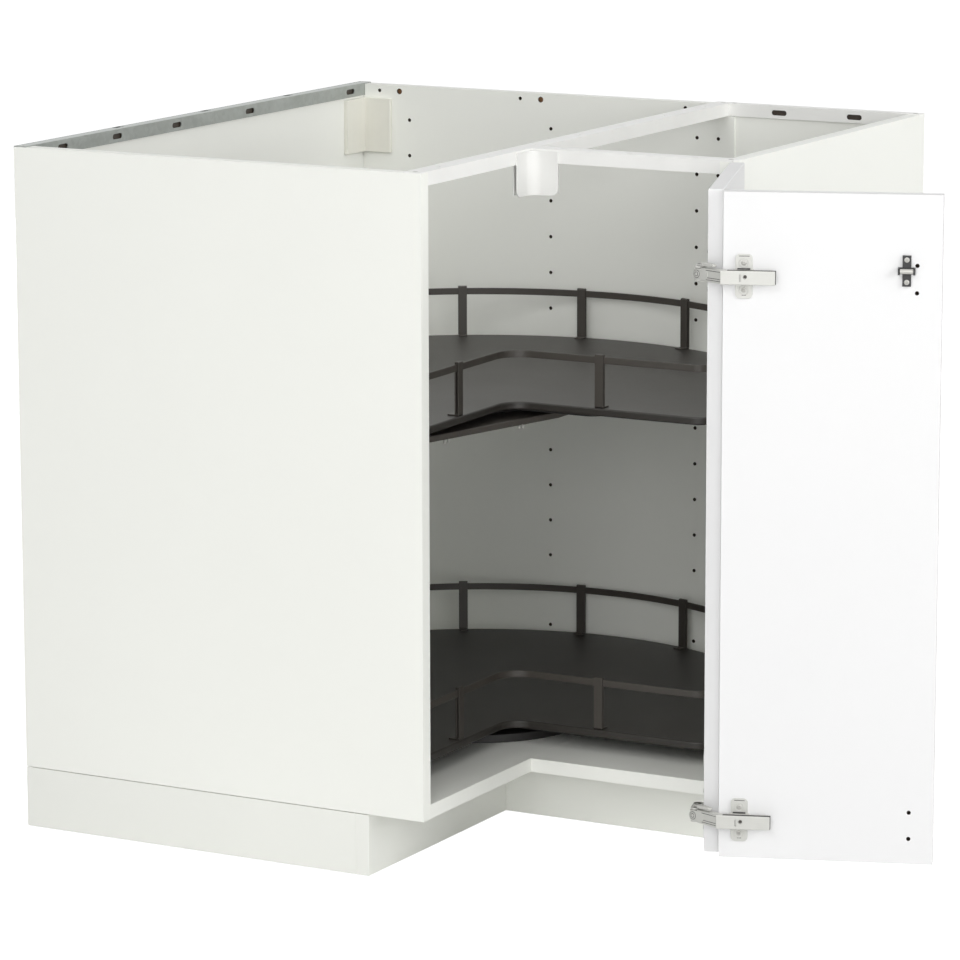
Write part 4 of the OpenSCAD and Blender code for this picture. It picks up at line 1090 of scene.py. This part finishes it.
            # painted shade: dark strips along its upper edge and its end stand for the shadowed gap where the cover
            # sits over the arm
            seam = Blank().block((top + 0.6 * MM, far - 0.5 * MM, z + half - 0.2 * MM), (base, near - 8 * MM, z + half + 0.35 * MM))
            seam.block((top + 0.6 * MM, far - 0.55 * MM, z - half + 0.8 * MM), (base, far + 0.2 * MM, z + half))
            settle(softened(stand(level + "_cover_seam", seam.mesh("seam", opened())), 0), "free_door", "black_coat")
            screw = Blank().turned([(0, 0), (1.9 * MM, 0), (1.9 * MM, 0.5 * MM), (1.5 * MM, 0.9 * MM), (0, 0.9 * MM)], steps=20)
            place = Matrix.Translation((top + 1.2 * MM, middle, z + 1.2 * MM)) @ Matrix.Rotation(-math.pi / 2, 4, "Y")
            settle(softened(stand(level + "_cover_screw", screw.mesh("screw", opened() @ place)), 0.0), "free_door", "dark_coat")

    def plates(self):
        """Winged mounting plates with a pressed ring in each wing, and thin dark blocks as painted shade for a small
        hole in each wing, an edge, a dash and the gap beside the raised middle.
        """
        blank, shade_marks = Blank(), Blank()
        for z in HINGE_HEIGHTS:
            flat = Matrix.Translation((DOOR_IN, -DOOR_END - 24.5 * MM, z)) @ Matrix.Rotation(-math.pi / 2, 4, "Y")
            # painted shade: a dark line at one wing's end, a dash on the other, the gap beside the raised middle and
            # two dark dots for small holes
            shade_marks.block((23.4 * MM, -6.5 * MM, 0.5 * MM), (24.1 * MM, 6 * MM, 2.1 * MM), flat)
            shade_marks.block((-22.4 * MM, -2.6 * MM, 0.5 * MM), (-21.7 * MM, 2.2 * MM, 2.1 * MM), flat)
            shade_marks.block((8.2 * MM, -7.5 * MM, 0.5 * MM), (9.6 * MM, 7.5 * MM, 3.5 * MM), flat)
            for side in (-1, 1):
                shade_marks.prism(round_box(1.3 * MM, 1.3 * MM, 0.5 * MM), 0.5 * MM, 2.12 * MM,
                           flat @ Matrix.Translation((side * 20.5 * MM, 0, 0)))
            blank.prism(round_box(52 * MM, 20 * MM, 5 * MM, 6), 0.02 * MM, 2 * MM, flat)
            blank.prism(round_box(16 * MM, 26 * MM, 2 * MM), 0.02 * MM, 3.4 * MM, flat)
            for side in (-1, 1):
                ring = flat @ Matrix.Translation((side * 16 * MM, 0, 2 * MM))
                blank.turned([(0, -0.1 * MM), (6 * MM, -0.1 * MM), (6 * MM, 0.25 * MM), (5.6 * MM, 0.5 * MM), (5.1 * MM, 0.5 * MM),
                              (4.9 * MM, 0.2 * MM), (0, 0.2 * MM)], ring, 36)
        obj = softened(stand("corner_hinge_plate_set", blank.mesh("plates", opened())), 0.45 * MM, 3, 38)
        settle(obj, "free_door", "nickel", ("corner_hinge_plates",))
        settle(softened(stand("corner_hinge_plate_gaps", shade_marks.mesh("gaps", opened())), 0), "free_door", "black_coat")


class CABINET_OT_fasteners(bpy.types.Operator):
    """Screws of the rails, hinges and catch, one pattern copied onto marked points"""

    bl_idname = "cabinet.fasteners"
    bl_label = "Fasteners"

    def execute(self, context):
        head = pan_head("pan_head", 4 * MM, 1.7 * MM)
        small = pan_head("small_head", 3.1 * MM, 1.3 * MM)
        turn = opened()
        out = turn.to_3x3() @ Vector((-1, 0, 0))
        spots = [(turn @ Vector((DOOR_IN - 2.05 * MM, -DOOR_END - 24.5 * MM, z + side * 16 * MM)), out)
                 for z in HINGE_HEIGHTS for side in (-1, 1)]
        on_marks("free_door_hinge_screws", small, spots, "zinc", "free_door", ("hinge_screws_free_door",))
        out = turn.to_3x3() @ Vector((0, 1, 0))
        spots = [(turn @ Vector((x, -DOOR_IN + 1.1 * MM, z + side * 22.5 * MM)), out)
                 for z in HINGE_HEIGHTS for side in (-1, 1) for x in (OUTSIDE - 24.5 * MM, DOOR_END + 22.5 * MM)]
        on_marks("inner_door_hinge_screws", head, spots, "zinc", "inner_door", ("hinge_screws_inner_door",))
        low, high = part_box("hinge_screws_cabinet")
        middle = (low.y + high.y) / 2
        spots = [((high.x - 10 * MM, middle, z + side * 16 * MM), (-1, 0, 0)) for z in HINGE_HEIGHTS for side in (-1, 1)]
        on_marks("cabinet_hinge_screws", head, spots, "zinc", "carcass", ("hinge_screws_cabinet",))
        dressed("rail_screws", "rail_screw_set", "zinc", 0.15 * MM, lining=None)
        low, high = shut_box("catch_screws")
        spots = [(turn @ Vector((high.x, (low.y + high.y) / 2, z)), turn.to_3x3() @ Vector((-1, 0, 0)))
                 for z in (low.z + 3 * MM, high.z - 3 * MM)]
        on_marks("catch_screw_set", small, spots, "zinc", "free_door", ("catch_screws",))
        return {"FINISHED"}


class CABINET_OT_catch(bpy.types.Operator):
    """Catch near the free door's edge"""

    bl_idname = "cabinet.catch"
    bl_label = "Catch"

    def execute(self, context):
        dressed("catch_bracket", "catch_frame", "black_plastic", 0.4 * MM)
        dressed("catch_roller", "catch_wheel", "zinc", 0.3 * MM)
        return {"FINISHED"}


class CABINET_OT_stage(bpy.types.Operator):
    """Floor, light and camera"""

    bl_idname = "cabinet.stage"
    bl_label = "Stage"

    # camera fitted to the photograph, in the frame's metres and radians
    EYE = Vector((3.298, -5.672, 1.5769))
    AZIMUTH, DIP, ROLL = math.radians(28.708), math.radians(10.968), math.radians(-0.113)

    def execute(self, context):
        scene = context.scene
        stage = scene.cabinet_stage
        half = stage.distance
        mesh = bpy.data.meshes.new("floor")
        mesh.from_pydata([(-half, -half, 0), (half, -half, 0), (half, half, 0), (-half, half, 0)], [], [(0, 1, 2, 3)])
        floor = stand("floor", mesh)
        mesh.materials.append(self.floor_paint(stage.lift))

        data = bpy.data.cameras.new("camera")
        data.lens, data.sensor_width, data.clip_end = stage.lens, 36.0, 100.0
        camera = bpy.data.objects.new("camera", data)
        scene.collection.objects.link(camera)
        look = Vector((-math.sin(self.AZIMUTH) * math.cos(self.DIP), math.cos(self.AZIMUTH) * math.cos(self.DIP), -math.sin(self.DIP)))
        turn = look.to_track_quat("-Z", "Y").to_matrix().to_4x4() @ Matrix.Rotation(self.ROLL, 4, "Z")
        camera.matrix_world = Matrix.Translation(self.EYE) @ turn
        scene.camera = camera

        self.lamp(scene, "front lamp", (1.0, -5.4, 3.9), (0.6, -0.5, 0.5), (4.0, 2.6), stage.front)
        self.lamp(scene, "key lamp", (3.3, -5.8, 1.5), (0.6, -0.5, 0.5), (4.0, 2.6), stage.key)
        self.lamp(scene, "side lamp", (6.2, -1.0, 2.6), (0.6, -0.5, 0.5), (4.0, 2.6), stage.side)
        self.lamp(scene, "top lamp", (0.6, -0.8, 4.2), (0.4, -0.5, 0.4), (2.6, 2.6), stage.above)
        self.lamp(scene, "rear lamp", (-3.8, 3.4, 0.5), (0.4, -0.3, 0.4), (3.4, 0.8), stage.rear)
        self.sky(scene, stage.sky)
        scene.view_settings.view_transform = "Standard"
        return {"FINISHED"}

    def lamp(self, scene, name, spot, aim, size, power):
        data = bpy.data.lights.new(name, "AREA")
        data.shape, (data.size, data.size_y), data.energy = "RECTANGLE", size, power
        lamp = bpy.data.objects.new(name, data)
        scene.collection.objects.link(lamp)
        lamp.location, lamp.visible_camera = spot, False
        lamp.rotation_euler = (Vector(aim) - Vector(spot)).to_track_quat("-Z", "Y").to_euler()

    def floor_paint(self, lift):
        """White to the camera, lit and shadowed near the object."""
        paint = Finish("floor_paint", (0.92, 0.92, 0.92), 0.9)
        rays = paint.add("ShaderNodeLightPath")
        seen = rays["Is Camera Ray"]
        lift = paint.add("ShaderNodeEmission", None, {"Color": (1.0, 1.0, 1.0, 1.0), "Strength": lift})
        both = paint.add("ShaderNodeAddShader", None, [paint.surface["BSDF"], lift["Emission"]])
        chosen = paint.add("ShaderNodeMixShader", None, [seen, paint.surface["BSDF"], both["Shader"]])
        out = next(n for n in paint.tree.nodes if n.type == "OUTPUT_MATERIAL")
        paint.tree.links.new(chosen["Shader"].socket, out.inputs["Surface"])
        return paint.material

    def sky(self, scene, strength):
        world = bpy.data.worlds.new("sky")
        world.use_nodes = True
        scene.world = world
        sheet = Sheet(world.node_tree)
        sheet.tree.nodes.clear()
        rays = sheet.add("ShaderNodeLightPath")
        seen = rays["Is Camera Ray"].maths("MAXIMUM", rays["Is Camera Ray"], rays["Is Glossy Ray"])
        even = sheet.add("ShaderNodeBackground", None, {"Color": (1.0, 1.0, 1.0, 1.0), "Strength": strength})
        white = sheet.add("ShaderNodeBackground", None, {"Color": (1.0, 1.0, 1.0, 1.0), "Strength": 1.0})
        chosen = sheet.add("ShaderNodeMixShader", None, [seen, even["Background"], white["Background"]])
        sheet.add("ShaderNodeOutputWorld", None, {"Surface": chosen["Shader"]})


class CABINET_PT_panel(bpy.types.Panel):
    """Lists the settings and the operators"""

    bl_idname = "CABINET_PT_panel"
    bl_label = "Corner carousel cabinet"
    bl_space_type = "VIEW_3D"
    bl_region_type = "UI"
    bl_category = "Cabinet"

    def draw(self, context):
        for group in (context.scene.cabinet_sizes, context.scene.cabinet_colours, context.scene.cabinet_stage):
            box = self.layout.box()
            for name in group.bl_rna.properties.keys():
                if name not in ("name", "rna_type"):
                    box.prop(group, name)
        for operator in OPERATORS:
            self.layout.operator(operator.bl_idname)


OPERATORS = (CABINET_OT_stage, CABINET_OT_boards, CABINET_OT_rails, CABINET_OT_plinth, CABINET_OT_shelves, CABINET_OT_guards,
             CABINET_OT_beam, CABINET_OT_doors, CABINET_OT_hinges, CABINET_OT_catch, CABINET_OT_fasteners)
GROUPS = {"cabinet_colours": CabinetColours, "cabinet_sizes": CabinetSizes, "cabinet_stage": CabinetStage}


def register():
    for group in (*GROUPS.values(), *OPERATORS, CABINET_PT_panel):
        bpy.utils.register_class(group)
    for name, group in GROUPS.items():
        setattr(bpy.types.Scene, name, PointerProperty(type=group))


def unregister():
    for name in GROUPS:
        delattr(bpy.types.Scene, name)
    for group in (CABINET_PT_panel, *reversed(OPERATORS), *reversed(GROUPS.values())):
        bpy.utils.unregister_class(group)


def main():
    register()
    for operator in OPERATORS:
        getattr(bpy.ops.cabinet, operator.bl_idname.split(".")[1])()


if __name__ == "__main__":
    main()
